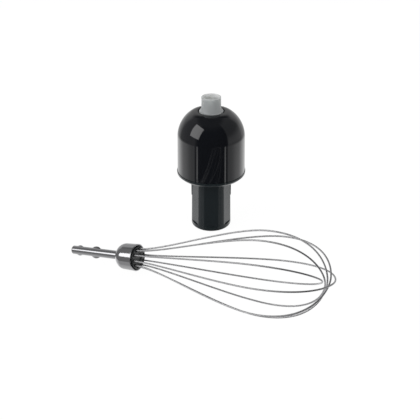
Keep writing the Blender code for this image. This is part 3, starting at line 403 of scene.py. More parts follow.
plug_colour = painted(0.020, 0.023, 0.024)
plug_black = make_finish("plug_black", (220.0, 0.34, 0.46), (4200.0, 0.000005, 3.0), plug_colour)

rubber_colour = painted(0.012, 0.012, 0.012)
black_rubber = make_finish("black_rubber", (300.0, 0.60, 0.75), (3000.0, 0.00002), rubber_colour)

# %% [markdown]
# The coupling is nylon in its natural colour. Light goes a few millimetres into it before it comes
# back, so its edges look soft. Subsurface scattering does that. Its hollow has a painted glow: a
# lighter base colour within a radius of the axis, which stands in for light that comes through its wall.
# The gears are acetal, which is whiter and lets through less.

# %% Pale plastics
# Painted glow: within this radius of the axis the nylon's base colour is a lighter grey, which stands in
# for light shining through the thin wall.
PAINTED_GLOW_RADIUS = 0.0062
PAINTED_GLOW_COLOUR = (0.60, 0.61, 0.61, 1.0)


def scattering(weight, scale, *radius):
    """The inputs for light that goes into a material and comes back."""
    return {"Subsurface Weight": weight, "Subsurface Scale": scale, "Subsurface Radius": radius}


nylon_depth = scattering(1.0, 0.0045, 1.0, 1.0, 0.95)
natural_nylon = make_finish("natural_nylon", (160.0, 0.34, 0.46), (900.0, 0.00002), nylon_depth)
vary_colour(natural_nylon, 90.0, (0.335, 0.350, 0.355), (0.375, 0.390, 0.395), 2.0)
# The hollow gets the painted glow colour in place of the nylon's varied colour.
change(natural_nylon, "Base Color", PAINTED_GLOW_RADIUS, "RGBA", inside=PAINTED_GLOW_COLOUR)

acetal_depth = scattering(0.3, 0.0010, 1.0, 0.95, 0.8)
gear_acetal = make_finish("gear_acetal", (200.0, 0.36, 0.48), (1500.0, 0.00001), acetal_depth)
vary_colour(gear_acetal, 140.0, (0.70, 0.68, 0.60), (0.78, 0.76, 0.69), 2.0)

# %% [markdown]
# Stainless steel takes most of its look from what it mirrors. What is its own is the direction of
# its fine lines: along the stem and the ferrule, and round the turned pieces inside. The noise for
# those lines is squeezed across them and stretched along them, in the whisk's own frame, which the
# Mapping node lays over the tilted whisk. The wires are thin, so they only get a fine, even grain.

# %% Metals
DRAWN = {"stretch": (0.02, 1.0, 1.0), "turn": (0.0, math.asin(whisk_axis.z), 0.0)}
TURNED = {"stretch": (0.05, 0.05, 1.0)}


def metal(*colour):
    return painted(*colour, Metallic=1.0)


polished = (1400.0, 0.07, 0.11), (1400.0, 0.0000006, 1.0), metal(0.36, 0.36, 0.37)
polished_steel = make_finish("polished_steel", *polished, **DRAWN)
grained = (60.0, 0.42, 0.50, 1.0), (900.0, 0.0000012, 0.0), metal(0.53, 0.53, 0.54)
wire_steel = make_finish("wire_steel", *grained)
lathed = (1600.0, 0.24, 0.38), (3600.0, 0.000004), metal(0.50, 0.50, 0.50)
turned_steel = make_finish("turned_steel", *lathed, **TURNED)
sintered = (900.0, 0.38, 0.60), (2800.0, 0.00003), {"Metallic": 1.0}
sintered_bronze = make_finish("sintered_bronze", *sintered)
vary_colour(sintered_bronze, 1400.0, (0.30, 0.19, 0.08), (0.50, 0.34, 0.15))
print("finishes:", sorted(material.name for material in bpy.data.materials))

# %% [markdown]
# ## The dome
#
# The dome is one glossy moulding. Its wall leans in a little from the flange to the shoulder, so
# that it leaves its mould, and its crown is blunter than a half ball. A power curve with one
# exponent for the height and one for the radius fits such a crown with two numbers. Near its top the
# crown settles in one soft curve to the rim of the opening, in which the coupling turns. The profile
# goes on inside, down the boss that holds the seal and the bearing, and back down the inner wall.

# %% Heights and radii of the dome
GAP = 0.0003
DOME_DRAFT = 0.0006
DOME_WALL = 0.0022
DOME_STEPS = 240
SHOULDER_RISE = 0.0289
CROWN_RISE = 0.0212
CROWN_POWER = 1.72
SIDE_POWER = 2.63
CROWN_END = 0.0127
SETTLE_RADIUS = 0.0150
RIM_DROP = 0.0001
RIM_FLAT = 0.0004
END_SLOPE = -0.05
SPLIT_RISE = 0.0006
EDGE_TAPER = 0.0001
EDGE_RISE = 0.0035
CRATER_DEPTH = 0.0035
CRATER_GAP = 0.00095
ROOF_THICKNESS = 0.0030
BOSS_WALL = 0.0026
BOSS_BELOW_CLIP = 0.0022
SPACER_ROOM = 0.0011

LIP_TOP = bottom("dome_housing") - GAP
SHOULDER_TOP = LIP_TOP + SHOULDER_RISE
DOME_BASE_RADIUS = half_width("dome_housing")
DOME_SHOULDER_RADIUS = DOME_BASE_RADIUS - DOME_DRAFT
print("dome radius and lip top in mm:", in_mm((DOME_BASE_RADIUS, LIP_TOP)))


def crown(side_radius, rise, end_radius, steps):
    """Points up the crown, from the shoulder to the radius where it ends."""
    last = math.acos((end_radius / side_radius) ** (SIDE_POWER / 2))
    points = []
    for i in range(1, steps + 1):
        a = last * i / steps
        radius = side_radius * math.cos(a) ** (2 / SIDE_POWER)
        points.append(Vector((radius, SHOULDER_TOP + rise * math.sin(a) ** (2 / CROWN_POWER))))
    return points


def settle(before, start, end, steps):
    """Points of a soft curve that leaves the crown in its own direction and ends nearly flat."""
    slope = (start.y - before.y) / (start.x - before.x)
    corner_x = (end.y - start.y + slope * start.x - END_SLOPE * end.x) / (slope - END_SLOPE)
    corner = Vector((corner_x, end.y + END_SLOPE * (corner_x - end.x)))
    return bend(start, corner, end, steps)[1:]


# %% The dome's shell
def dome_outline():
    """The section of the shell, from the lower edge up the outside and back down the inside."""
    base = LIP_TOP + GAP + SPLIT_RISE
    outer = crown(DOME_SHOULDER_RADIUS, CROWN_RISE, CROWN_END, 64)
    rim = outer[-1].y - RIM_DROP
    crater = half_width("drive_coupling") + CRATER_GAP
    crater_floor = rim - CRATER_DEPTH
    pocket = half_width("shaft_seal") + GAP
    bore = half_width("input_bearing") + GAP
    spacer = half_width("spacer_sleeve") + SPACER_ROOM
    groove = half_width("bearing_clip") + GAP
    boss = bore + BOSS_WALL
    boss_end = bottom("bearing_clip") - BOSS_BELOW_CLIP
    inner_side = DOME_SHOULDER_RADIUS - DOME_WALL
    inner = crown(inner_side, CROWN_RISE - ROOF_THICKNESS, boss, 24)
    foot = [
        (DOME_BASE_RADIUS - DOME_WALL, base),
        (DOME_BASE_RADIUS, base, 0.0001),
        (DOME_BASE_RADIUS - EDGE_TAPER, base + EDGE_RISE),
        (DOME_SHOULDER_RADIUS, SHOULDER_TOP),
    ]
    outside = [p for p in outer if p.x > SETTLE_RADIUS]
    outside += settle(outside[-2], outside[-1], Vector((crater + RIM_FLAT, rim)), 16)
    inward = [
        tuple(outside[-1]),
        (crater, rim, 0.00035),
        (crater, crater_floor, 0.0002),
        (pocket, crater_floor, 0.0002),
        *level(bottom("shaft_seal") - GAP, pocket, spacer),
        *level(top("input_bearing") + GAP, spacer, bore),
        *level(top("bearing_clip") + GAP / 2, bore, groove),
        *level(bottom("bearing_clip") - GAP, groove, bore),
        (bore, boss_end, 0.0003),
        (boss, boss_end, 0.0003),
        tuple(inner[-1]),
    ]
    inside = [*inner[-2::-1], Vector((inner_side, SHOULDER_TOP))]
    return rounded(foot) + outside + rounded(inward)[1:] + inside


dome = turned("dome_shell", dome_outline(), DOME_STEPS, gloss_black)
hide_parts("dome_housing")
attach(dome, "housing")
print("dome faces:", len(dome.data.polygons))

# %% [markdown]
# ## The nose and its flange
#
# The lower moulding is the nose, with six broad flats and two slim lugs, and the flange that closes
# the dome. The lathe carves the flats: at each angle, a flat's distance from the axis is its own
# depth divided by the cosine of the angle to its middle. The smaller of that and the round radius
# is the wall, and a soft minimum rounds the edge between the two, as polishing a mould does.

# %% Sizes of the nose
NOSE_LENGTH = LIP_TOP - 0.0026
LIP_CLOSING = 0.00075
LIP_EDGE = 0.0008
LIP_BEVEL = 0.0017
NOSE_RADIUS = 0.0147
NOSE_FLARE = 0.0008
NOSE_CORE = 0.0123
NOSE_STEPS = 360
FLAT_COUNT = 6
FLAT_DEPTH = 0.0009
FLAT_HIGH = NOSE_LENGTH - 0.0004
FLAT_TOP = (FLAT_HIGH - 0.0004, FLAT_HIGH)
FLAT_FOOT = (0.0036, 0.0036 + 0.0003)
EDGE_SOFTNESS = 0.00003
LUG_WIDTH = 0.0042
LUG_RISE = 0.0006
LUG_LOW = NOSE_LENGTH - 0.0178
LUG_FOOT = (LUG_LOW, LUG_LOW + 0.0003)


def ramp(value, start, end):
    """A soft step from 0 at start to 1 at end."""
    t = max(0.0, min(1.0, (value - start) / (end - start)))
    return t * t * (3 - 2 * t)


def softer_min(a, b, softness):
    return min(a, b) - softness * math.log(1 + math.exp(-abs(a - b) / softness))


def nose_radius(height):
    """The nose widens towards its end, as a moulding that leaves its mould upwards does."""
    return NOSE_RADIUS + NOSE_FLARE * (1 - height / NOSE_LENGTH)


def nose_wall(angle, radius, height):
    """The nose's outer wall: flats and lugs are carved, and all else stays round."""
    inside = radius < NOSE_RADIUS - FLAT_DEPTH
    if inside or radius > nose_radius(height) + GAP or height > FLAT_HIGH + GAP:
        return radius
    pitch = 2 * math.pi / FLAT_COUNT
    off = (angle - math.pi / 2 + pitch / 2) % pitch - pitch / 2
    flat = (nose_radius(height) - FLAT_DEPTH) / math.cos(off)
    cut_in = ramp(height, *FLAT_FOOT) * (1 - ramp(height, *FLAT_TOP))
    wall = radius + (softer_min(radius, flat, EDGE_SOFTNESS) - radius) * cut_in
    turn = (angle + math.pi / 2) % math.pi - math.pi / 2
    from_lug = abs(turn) * NOSE_RADIUS
    lug = 1 - ramp(from_lug, LUG_WIDTH / 2 - 0.0001, LUG_WIDTH / 2 + 0.0002)
    lug *= ramp(height, *LUG_FOOT)
    return wall + ((NOSE_RADIUS + LUG_RISE) / math.cos(turn) - wall) * lug if lug else wall


# %% The nose's section
DECK_RISE = 0.0032
DECK_ROOM = 0.0005
FOOT_START = 0.0025
FOOT_BEVEL = 0.0009
SEAL_ROOM = 0.0001
SEAL_DEPTH = 0.0015
BUSH_RELIEF = 0.0074
TUBE_RADIUS = 0.0109
TUBE_FLOOR = 0.0040


def nose_outline():
    """The section of the lower moulding, down its outside and up its bore."""
    lip = half_width("nose_housing")
    deck = LIP_TOP + DECK_RISE
    deck_radius = DOME_BASE_RADIUS - DOME_WALL - DECK_ROOM
    groove = deck_radius - SEAL_DEPTH
    bush = half_width("lower_bush") + GAP
    above = [
        (NOSE_CORE, deck),
        (deck_radius, deck, 0.0002),
        *level(top("housing_seal") + SEAL_ROOM, deck_radius, groove),
        *level(bottom("housing_seal") - SEAL_ROOM, groove, deck_radius),
        (deck_radius, LIP_TOP + LIP_CLOSING, 0.0001),
        (lip, LIP_TOP + LIP_CLOSING, 0.00008),
        (lip, LIP_TOP - LIP_EDGE, 0.0001),
        (lip - LIP_BEVEL, NOSE_LENGTH, 0.0003),
        (NOSE_RADIUS, NOSE_LENGTH, 0.0002),
        (NOSE_RADIUS, FLAT_HIGH + 0.0001),
    ]
    stations = [NOSE_LENGTH * k / 14 for k in range(2, 14)]
    for start, end in (FLAT_TOP, LUG_FOOT, FLAT_FOOT):
        stations += [start + (end - start) * (k / 6) for k in range(-1, 8)]
    stations = sorted((z for z in stations if z < FLAT_HIGH + 0.00005), reverse=True)
    foot = nose_radius(0.0)
    below = [
        (nose_radius(FOOT_START), FOOT_START),
        (foot, FOOT_BEVEL, 0.0005),
        (foot - FOOT_BEVEL, 0.0, 0.0004),
        (bush, 0.0, 0.0003),
        *level(top("lower_bush") + GAP, bush, BUSH_RELIEF),
        *level(bottom("upper_bush") - GAP, BUSH_RELIEF, bush),
        *level(bottom("thrust_washer"), bush, TUBE_RADIUS),
        (TUBE_RADIUS, TUBE_FLOOR, 0.0004),
        (NOSE_CORE, TUBE_FLOOR, 0.0004),
        (NOSE_CORE, deck - 0.0001),
    ]
    return rounded(above) + [Vector((nose_radius(z), z)) for z in stations] + rounded(below)


# %% The nose, with the holes for the housing screws
SCREW_COUNT = 3
SCREW_HOLE = 0.0013
SCREW_MOUTH = 0.0021
MOUTH_DEPTH = 0.0020
HOLE_FROM = NOSE_LENGTH - 0.001
HOLE_TO = LIP_TOP + 0.005

screw_low, screw_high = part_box("housing_screw_1")
screw_offset = (screw_low + screw_high) / 2 - ADAPTER_FOOT
SCREW_CIRCLE = math.hypot(screw_offset.x, screw_offset.y)

nose = turned("nose_moulding", nose_outline(), NOSE_STEPS, satin_black, carve=nose_wall)
holes = []
for i in range(SCREW_COUNT):
    angle = math.pi / 2 + 2 * math.pi * i / SCREW_COUNT
    out = Vector((SCREW_CIRCLE * math.cos(angle), SCREW_CIRCLE * math.sin(angle), 0.0))
    place = adapter_frame @ Matrix.Translation(out)
    holes.append(rod_mesh("hole", SCREW_HOLE, HOLE_FROM, HOLE_TO, 32, place))
    holes.append(rod_mesh("mouth", SCREW_MOUTH, HOLE_FROM, NOSE_LENGTH + MOUTH_DEPTH, 48, place))
cut(nose, holes)
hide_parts("nose_housing")
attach(nose, "housing")
print("nose faces:", len(nose.data.polygons))

# %% [markdown]
# ## The coupling
#
# The nylon coupling covers the dome's opening with a skirt, so that water doesn't reach the seal.
# Above the skirt it is a thin tube. Inside are six flats, which take the blender's drive, and a
# short round lead-in above them. The same lathe carves the flats, this time from inside: at each
# angle the bore lies as far out as a hexagon's side, and its corners are rounded off.

# %% The coupling's section
COUPLING_RADIUS = 0.00715
COUPLING_RIM = 0.00085
SKIRT_RADIUS = 0.00885
SKIRT_FOOT = 0.0033
SKIRT_RISE = 0.0040
SKIRT_STEPS = 16
LEAD_IN = 0.0014
SOCKET_DEPTH = 0.0086
SCREW_BORE = 0.0013
HEX_FLATS = 0.0105
HEX_CORNER = 0.0059
HEX_MARK = 0.0050
HEX_SOFTNESS = 0.00006


def hexagon(mark, flats, corner, turn=0.0):
    """A carver that lays the points drawn at the mark's radius on a hexagon with rounded corners."""

    def carve(angle, radius, height):
        if abs(radius - mark) > 1e-6:
            return radius
        pitch = math.pi / 3
        off = (angle - turn + pitch / 2) % pitch - pitch / 2
        return softer_min(flats / 2 / math.cos(off), corner, HEX_SOFTNESS)

    return carve


def coupling_outline():
    """The section of the coupling, from its rim down its outside and up its bore."""
    rim, foot = top("drive_coupling"), bottom("drive_coupling")
    lead = COUPLING_RADIUS - COUPLING_RIM
    socket_floor = rim - SOCKET_DEPTH
    skirt_low = foot + SKIRT_FOOT
    shaft = half_width("input_shaft") + GAP
    outside = rounded([(lead, rim), (COUPLING_RADIUS, rim, 0.0004), (COUPLING_RADIUS, rim - 0.002)])
    for i in range(SKIRT_STEPS, -1, -1):
        a = math.pi / 2 * i / SKIRT_STEPS
        radius = SKIRT_RADIUS - (SKIRT_RADIUS - COUPLING_RADIUS) * math.sin(a)
        outside.append(Vector((radius, skirt_low + SKIRT_RISE * (1 - math.cos(a)))))
    below = [
        (SKIRT_RADIUS, skirt_low),
        (SKIRT_RADIUS, foot, 0.0006),
        (shaft, foot, 0.0002),
        *level(top("input_shaft") + GAP, shaft, SCREW_BORE),
        *level(socket_floor, SCREW_BORE, HEX_MARK),
        (HEX_MARK, socket_floor + 0.0002),
        (HEX_MARK, rim - LEAD_IN - 0.0002),
        *level(rim - LEAD_IN, HEX_MARK, lead - 0.0003),
        (lead - 0.0002, rim - 0.0003),
    ]
    return outside + rounded(below)[1:]


hex_socket = hexagon(HEX_MARK, HEX_FLATS, HEX_CORNER)
coupling = turned("coupling_moulding", coupling_outline(), 180, natural_nylon, carve=hex_socket)
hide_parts("drive_coupling")
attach(coupling, "input")
print("coupling faces:", len(coupling.data.polygons))

# %% [markdown]
# ## The whisk's ferrule
#
# The ferrule is a cup drawn from sheet steel. Its closed end is round, and its wall flares a little
# towards the rim, which is cut square and lightly broken. A quarter ellipse gives the round end.

# %% The ferrule cup
CUP_LENGTH = 0.0153
CUP_RIM = 0.0095
CUP_BELL = 0.0092
CUP_SHEET = 0.0008
BELL_LENGTH = 0.0065
BELL_STEPS = 24
STEM_RADIUS = 0.00305
STEM_HOLE = STEM_RADIUS + GAP


def ferrule_outline():
    """The section of the cup, from the hole for the stem to the rim and back inside."""
    start = -CUP_LENGTH + BELL_LENGTH
    shoulder = CUP_BELL - STEM_HOLE - 0.0004
    outside, inside = [Vector((STEM_HOLE, -CUP_LENGTH))], []
    for i in range(BELL_STEPS + 1):
        a = math.pi / 2 * i / BELL_STEPS
        back = 1 - math.sin(a)
        outside.append(Vector((CUP_BELL - shoulder * back, start - BELL_LENGTH * math.cos(a))))
        inner = CUP_BELL - CUP_SHEET - (shoulder - CUP_SHEET) * back
        inside.append(Vector((inner, start - (BELL_LENGTH - CUP_SHEET) * math.cos(a))))
    mouth = CUP_RIM - CUP_SHEET
    rim = [(CUP_BELL, start), (CUP_RIM, 0.0, 0.00025), (mouth, 0.0, 0.00025), (mouth, -0.002)]
    last = Vector((STEM_HOLE, -CUP_LENGTH + CUP_SHEET))
    return [*outside, *rounded(rim)[1:], *inside[::-1], last]


ferrule = turned("ferrule_shell", ferrule_outline(), 192, polished_steel, turning_frame)
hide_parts("ferrule_cup")
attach(ferrule, "housing")
print("ferrule faces:", len(ferrule.data.polygons))

# %% [markdown]
# ## The stem and its lugs
#
# The stem is a steel rod. Two places are squeezed in a press, so that the metal comes out as a lug
# on two opposite sides. Each lug is near an ellipsoid, and the stem's surface is whichever lies
# further out, the rod or the ellipsoid, with a soft change between them, as pressed metal has. The
# stem lies turned a little, so that one row of lugs looks up and back and the other down and forward.

# %% The stem's surface
STEM_REACH = 0.0563
STEM_BEVEL = 0.0006
STEM_INSET = 0.0062
STEM_TURN = math.radians(-30)
BIG_LUG = {"back": 0.0355, "length": 0.0100, "rise": 0.0013, "thickness": 0.0026}
SMALL_LUG = {"back": 0.0500, "length": 0.0078, "rise": 0.0007, "thickness": 0.0022}
LUG_SOFTNESS = 0.00016
LUG_ROWS = 36
LUG_MARGIN = 1.04


def stem_surface(angle, radius, along):
    """The rod, or a lug where it stands out further."""
    for lug in (BIG_LUG, SMALL_LUG):
        off = (along + lug["back"]) / (lug["length"] / 2)
        if abs(off) < 1 and radius > STEM_RADIUS * 0.99:
            across = math.sin(angle - STEM_TURN) / (lug["thickness"] / 2)
            out = math.cos(angle - STEM_TURN) / (STEM_RADIUS + lug["rise"])
            reach = math.sqrt((1 - off * off) / (across * across + out * out))
            radius = -softer_min(-radius, -reach, LUG_SOFTNESS)
    return radius


def stem_outline():
    """Rings close together where a lug rises, and far apart on the plain rod."""
    end = -CUP_LENGTH + STEM_INSET
    start = [(0.0, end), (STEM_RADIUS, end, 0.0003), (STEM_RADIUS, end - 0.004)]
    stations = []
    for lug in (BIG_LUG, SMALL_LUG):
        half = lug["length"] / 2 * LUG_MARGIN
        stations += [-lug["back"] + half * math.cos(math.pi * i / LUG_ROWS) for i in range(LUG_ROWS + 1)]
    body = [(STEM_RADIUS, along) for along in sorted(stations, reverse=True)]
    tip = [
        (STEM_RADIUS, -STEM_REACH + 0.0020),
        (STEM_RADIUS, -STEM_REACH + STEM_BEVEL, 0.00025),
        (STEM_RADIUS - STEM_BEVEL, -STEM_REACH, 0.0003),
        (0.0, -STEM_REACH),
    ]
    return rounded(start + body + tip)


stem = turned("stem_rod", stem_outline(), 128, polished_steel, turning_frame, stem_surface)
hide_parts("whisk_stem")
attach(stem, "housing")
print("stem faces:", len(stem.data.polygons))

# %% [markdown]
# ## The wire holder
#
# The black plug is moulded with ten funnels, which lead each wire into its hole. It is turned as a
# plain plug first, and ten cones and ten rods are then cut from it. Cutting keeps the funnels' rims
# crisp, which the lathe couldn't do, because they lie across its rings.

# %% The holder and its funnels
HOLDER_DEPTH = 0.0087
HOLDER_PROUD = 0.0010
DISH_RADIUS = 0.0036
DISH_DEPTH = 0.0007
WIRE_RADIUS = 0.00055
WIRE_GRIP = 0.0064
WIRE_CIRCLE = 0.0063
FUNNEL_RADIUS = 0.00135
FUNNEL_DEPTH = 0.0020
LOOP_COUNT = 5
LOOP_ROLL = math.radians(-9.47)


def holder_outline():
    radius = CUP_BELL - CUP_SHEET - GAP
    dish = HOLDER_PROUD - DISH_DEPTH
    corners = [
        (0.0, dish),
        (DISH_RADIUS - 0.0004, dish, 0.0003),
        (DISH_RADIUS, HOLDER_PROUD, 0.0003),
        (radius, HOLDER_PROUD, 0.0005),
        (radius, -HOLDER_DEPTH, 0.0003),
        (0.0, -HOLDER_DEPTH),
    ]
    return rounded(corners)


holder = turned("holder_plug", holder_outline(), 144, plug_black, turning_frame)
hole = WIRE_RADIUS + GAP / 2
funnels = []
for i in range(2 * LOOP_COUNT):
    angle = LOOP_ROLL + math.pi * i / LOOP_COUNT
    out = Matrix.Translation((0.0, WIRE_CIRCLE * math.cos(angle), WIRE_CIRCLE * math.sin(angle)))
    lay = whisk_frame @ out @ Matrix.Rotation(math.pi / 2, 4, "Y")
    funnels.append(rod_mesh("hole", hole, -WIRE_GRIP - GAP, HOLDER_PROUD, 20, lay))
    cone = HOLDER_PROUD - FUNNEL_DEPTH, HOLDER_PROUD + 0.0004
    funnels.append(rod_mesh("funnel", hole, *cone, 28, lay, FUNNEL_RADIUS))
cut(holder, funnels)
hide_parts("wire_holder")
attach(holder, "housing")
print("holder faces:", len(holder.data.polygons))

# %% [markdown]
# ## The wires
#
# Five wires are bent into loops, and each makes two of the whisk's strands. A wire that is bent by
# hand or on a simple jig never matches its neighbours, so each loop has its own reach, width and
# belly. Half a loop is two Bezier curves: the neck, which leaves the plug straight and swells to the
# belly, and the nose, which comes round to the tip at a right angle to the axis.
#
# Geometry Nodes sweep the wire along that path. The tree takes the wire's radius and its fineness as
# named inputs, so one tree serves all five loops.

# %% One tree that sweeps a wire along its path
def new_group(name, output, **inputs):
    """A Geometry Nodes group with named inputs, as its tree and the sockets that give them."""
    tree = bpy.data.node_groups.new(name, "GeometryNodeTree")
    for what, kind in inputs.items():
        what = what.replace("_", " ")
        tree.interface.new_socket(what, in_out="INPUT", socket_type="NodeSocket" + kind)
    tree.interface.new_socket(output, in_out="OUTPUT", socket_type="NodeSocketGeometry")
    return tree, tree.nodes.new("NodeGroupInput").outputs


def close_group(tree, output, geometry, finish):
    """Ends a group: real geometry, with its finish."""
    real = add_node(tree, "RealizeInstances", {"Geometry": geometry})
    done = add_node(tree, "SetMaterial", {"Geometry": real, "Material": finish})
    tree.links.new(done, tree.nodes.new("NodeGroupOutput").inputs[output])
    return tree


def wire_tree():
    counts = {"Rings": "Int", "Sides": "Int"}
    inputs = {"Path": "Geometry", "Wire_radius": "Float", **counts, "Finish": "Material"}
    tree, given = new_group("sweep_wire", "Wire", **inputs)
    path = {"Curve": given["Path"], "Count": given["Rings"]}
    ring = {"Resolution": given["Sides"], "Radius": given["Wire radius"]}
    path = add_node(tree, "ResampleCurve", path)
    ring = add_node(tree, "CurvePrimitiveCircle", ring)
    swept = {"Curve": path, "Profile Curve": ring, "Fill Caps": True}
    swept = add_node(tree, "CurveToMesh", swept)
    smooth = add_node(tree, "SetShadeSmooth", {"Geometry": swept})
    return close_group(tree, "Wire", smooth, given["Finish"])


def nodes_result(name, obj, tree, values):
    """Runs a tree on an object and returns what it makes as a plain mesh object."""
    modifier = obj.modifiers.new("nodes", "NODES")
    modifier.node_group = tree
    for item in tree.interface.items_tree:
        if item.in_out == "INPUT" and item.name in values:
            modifier[item.identifier] = values[item.name]
    mesh = evaluated_mesh(obj)
    mesh.name = name
    bpy.data.objects.remove(obj, do_unlink=True)
    return add_object(name, mesh)


# %% The loops' paths
LOOP_REACH = (0.14029, 0.13753, 0.13587, 0.13431, 0.13248)
LOOP_RADIUS = (0.02393, 0.02906, 0.02706, 0.02624, 0.02101)
LOOP_BELLY = (0.10016, 0.09944, 0.09487, 0.09737, 0.09296)
NECK_HANDLES = (0.193, 0.271)
TIP_HANDLES = (0.868, 0.238)
PATH_STEPS = 60
WIRE_RINGS = 220
WIRE_SIDES = 12


def bezier(p0, p1, p2, p3):
    """Points of a cubic curve, without its first."""
    points = []
    for i in range(1, PATH_STEPS + 1):
        t = i / PATH_STEPS
        a, b, c, d = (1 - t) ** 3, 3 * t * (1 - t) ** 2, 3 * t * t * (1 - t), t**3
        points.append(p0 * a + p1 * b + p2 * c + p3 * d)
    return points


def half_loop(number):
    """(along, radius) points of one strand, from its end in the holder to the loop's tip."""
    reach, widest, belly = LOOP_REACH[number], LOOP_RADIUS[number], LOOP_BELLY[number]
    start = Vector((HOLDER_PROUD, WIRE_CIRCLE))
    widest_point = Vector((belly, widest))
    tip = Vector((reach, 0.0))
    leave = start + Vector((NECK_HANDLES[0] * belly, 0.0))
    arrive = widest_point - Vector((NECK_HANDLES[1] * belly, 0.0))
    onward = widest_point + Vector((TIP_HANDLES[0] * (reach - belly), 0.0))
    turn_in = tip + Vector((0.0, TIP_HANDLES[1] * widest))
    neck = bezier(start, leave, arrive, widest_point)
    return [Vector((-WIRE_GRIP, WIRE_CIRCLE)), start, *neck, *bezier(widest_point, onward, turn_in, tip)]


def loop_path(number):
    """A whole loop as a curve object, in the row's frame."""
    angle = LOOP_ROLL + math.pi * number / LOOP_COUNT
    across = Vector((0.0, math.cos(angle), math.sin(angle)))
    along = Vector((1.0, 0.0, 0.0))
    strand = half_loop(number)
    points = [along * s + across * r for s, r in strand]
    points += [along * s - across * r for s, r in strand[-2::-1]]
    curve = bpy.data.curves.new("path", "CURVE")
    curve.dimensions = "3D"
    curve.twist_mode = "MINIMUM"
    spline = curve.splines.new("POLY")
    spline.points.add(len(points) - 1)
    for point, co in zip(spline.points, points):
        here = whisk_frame @ co
        here.z = max(here.z, WIRE_RADIUS)
        point.co = (*here, 1.0)
    return add_object("path", curve)


sweep_tree = wire_tree()
for number in range(LOOP_COUNT):
    fineness = {"Rings": WIRE_RINGS, "Sides": WIRE_SIDES}
    values = {"Wire radius": WIRE_RADIUS, **fineness, "Finish": wire_steel}
    wire = nodes_result(f"loop_wire_{number + 1}", loop_path(number), sweep_tree, values)
    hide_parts(f"wire_loop_{number + 1}")
    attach(wire, "housing")
print("wire faces:", len(wire.data.polygons))

# %% [markdown]
# ## The housing screws
#
# Three screws hold the adapter together, and their heads sit in the flange's underside. One head is
# shaped with a cross recess, and Geometry Nodes put a copy at each point of a circle. The screw's
# shank is hidden in the housing, so it is a plain rod here.

# %% One screw, and a tree that sets copies on a circle
SCREW_HEAD = 0.0018
SCREW_SHANK = 0.0010
HEAD_RISE = 0.0014
SCREW_LENGTH = 0.0300
CROSS_LOW = (-0.0011, -0.0002, -0.0005)
CROSS_HIGH = (0.0011, 0.0002, 0.0008)


def screw_object():
    """A pan head with a cross recess, on its shank, along Z from the head's face."""
    corners = [
        (0.0, SCREW_LENGTH),
        (SCREW_SHANK * 0.5, SCREW_LENGTH),
        (SCREW_SHANK, SCREW_LENGTH - SCREW_SHANK),
        (SCREW_SHANK, HEAD_RISE, 0.0001),
        (SCREW_HEAD, HEAD_RISE, 0.0002),
        (SCREW_HEAD, 0.0, 0.0005),
        (0.0, 0.0),
    ]
    body = turned("screw", rounded(corners), 40, turned_steel, Matrix.Identity(4))
    turns = [Matrix.Rotation(math.pi * quarter, 4, "Z") for quarter in (0.25, 0.75)]
    cut(body, [block_mesh("slot", CROSS_LOW, CROSS_HIGH, turn) for turn in turns])
    return body


def ring_tree():
    inputs = {"Start": "Geometry", "Copies": "Int", "Circle_radius": "Float", "Piece": "Object"}
    tree, given = new_group("set_round_circle", "Ring", **inputs, Finish="Material")
    circle = {"Vertices": given["Copies"], "Radius": given["Circle radius"]}
    circle = add_node(tree, "MeshCircle", circle)
    piece = add_node(tree, "ObjectInfo", {"Object": given["Piece"]}, "Geometry")
    copies = add_node(tree, "InstanceOnPoints", {"Points": circle, "Instance": piece})
    return close_group(tree, "Ring", copies, given["Finish"])


screw = screw_object()
values = {"Copies": SCREW_COUNT, "Circle radius": SCREW_CIRCLE, "Piece": screw, "Finish": turned_steel}
start = add_object("start", bpy.data.meshes.new("start"))
screws = nodes_result("screw_heads", start, ring_tree(), values)
bpy.data.objects.remove(screw, do_unlink=True)
lift = Matrix.Translation((0.0, 0.0, screw_low.z))
screws.data.transform(adapter_frame @ lift @ Matrix.Rotation(math.pi / 2, 4, "Z"))
shade(screws.data)
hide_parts("housing_screw_1", "housing_screw_2", "housing_screw_3")
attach(screws, "housing")
print("screw faces:", len(screws.data.polygons))

# %% [markdown]
# ## What shows in the nose's end
#
# Seen from below, the nose's end shows the output spindle with its round socket and its slot for the
# lugs, the bronze bush that it turns in, and the clip that keeps it from pulling out.

# %% The spindle with its socket, and the bushes
SPINDLE_RADIUS = 0.0063
SPINDLE_HEX_FLATS = 0.0086
SPINDLE_HEX_CORNER = 0.0049
SPINDLE_HEX_MARK = 0.0040
PILOT_RADIUS = 0.0019
PILOT_DEPTH = 0.0027
CLIP_GROOVE = 0.0006
SLOT_RISE = 0.0017
SLOT_REACH = STEM_RADIUS + SLOT_RISE + GAP
SLOT_HALF = BIG_LUG["thickness"] / 2 + GAP
STEM_SOCKET_DEPTH = 0.0396


def spindle_outline():
    """The section of the spindle before its socket is cut, from its driven end down."""
    groove = SPINDLE_RADIUS - CLIP_GROOVE
    flange = half_width("output_spindle")
    flange_top = bottom("planet_carrier") - GAP
    flange_low = top("thrust_washer") + GAP
    end = top("output_spindle")
    corners = [
        *level(end - PILOT_DEPTH, 0.0, PILOT_RADIUS),
        *level(end, PILOT_RADIUS, SPINDLE_HEX_MARK),
        (SPINDLE_HEX_MARK, flange_top),
        (flange, flange_top, 0.0002),
        (flange, flange_low, 0.0002),
        (SPINDLE_RADIUS, flange_low),
        *level(top("spindle_clip") + GAP / 2, SPINDLE_RADIUS, groove),
        *level(bottom("spindle_clip") - GAP / 2, groove, SPINDLE_RADIUS),
        (SPINDLE_RADIUS, bottom("output_spindle"), 0.0003),
        (0.0, bottom("output_spindle")),
    ]
    return rounded(corners)


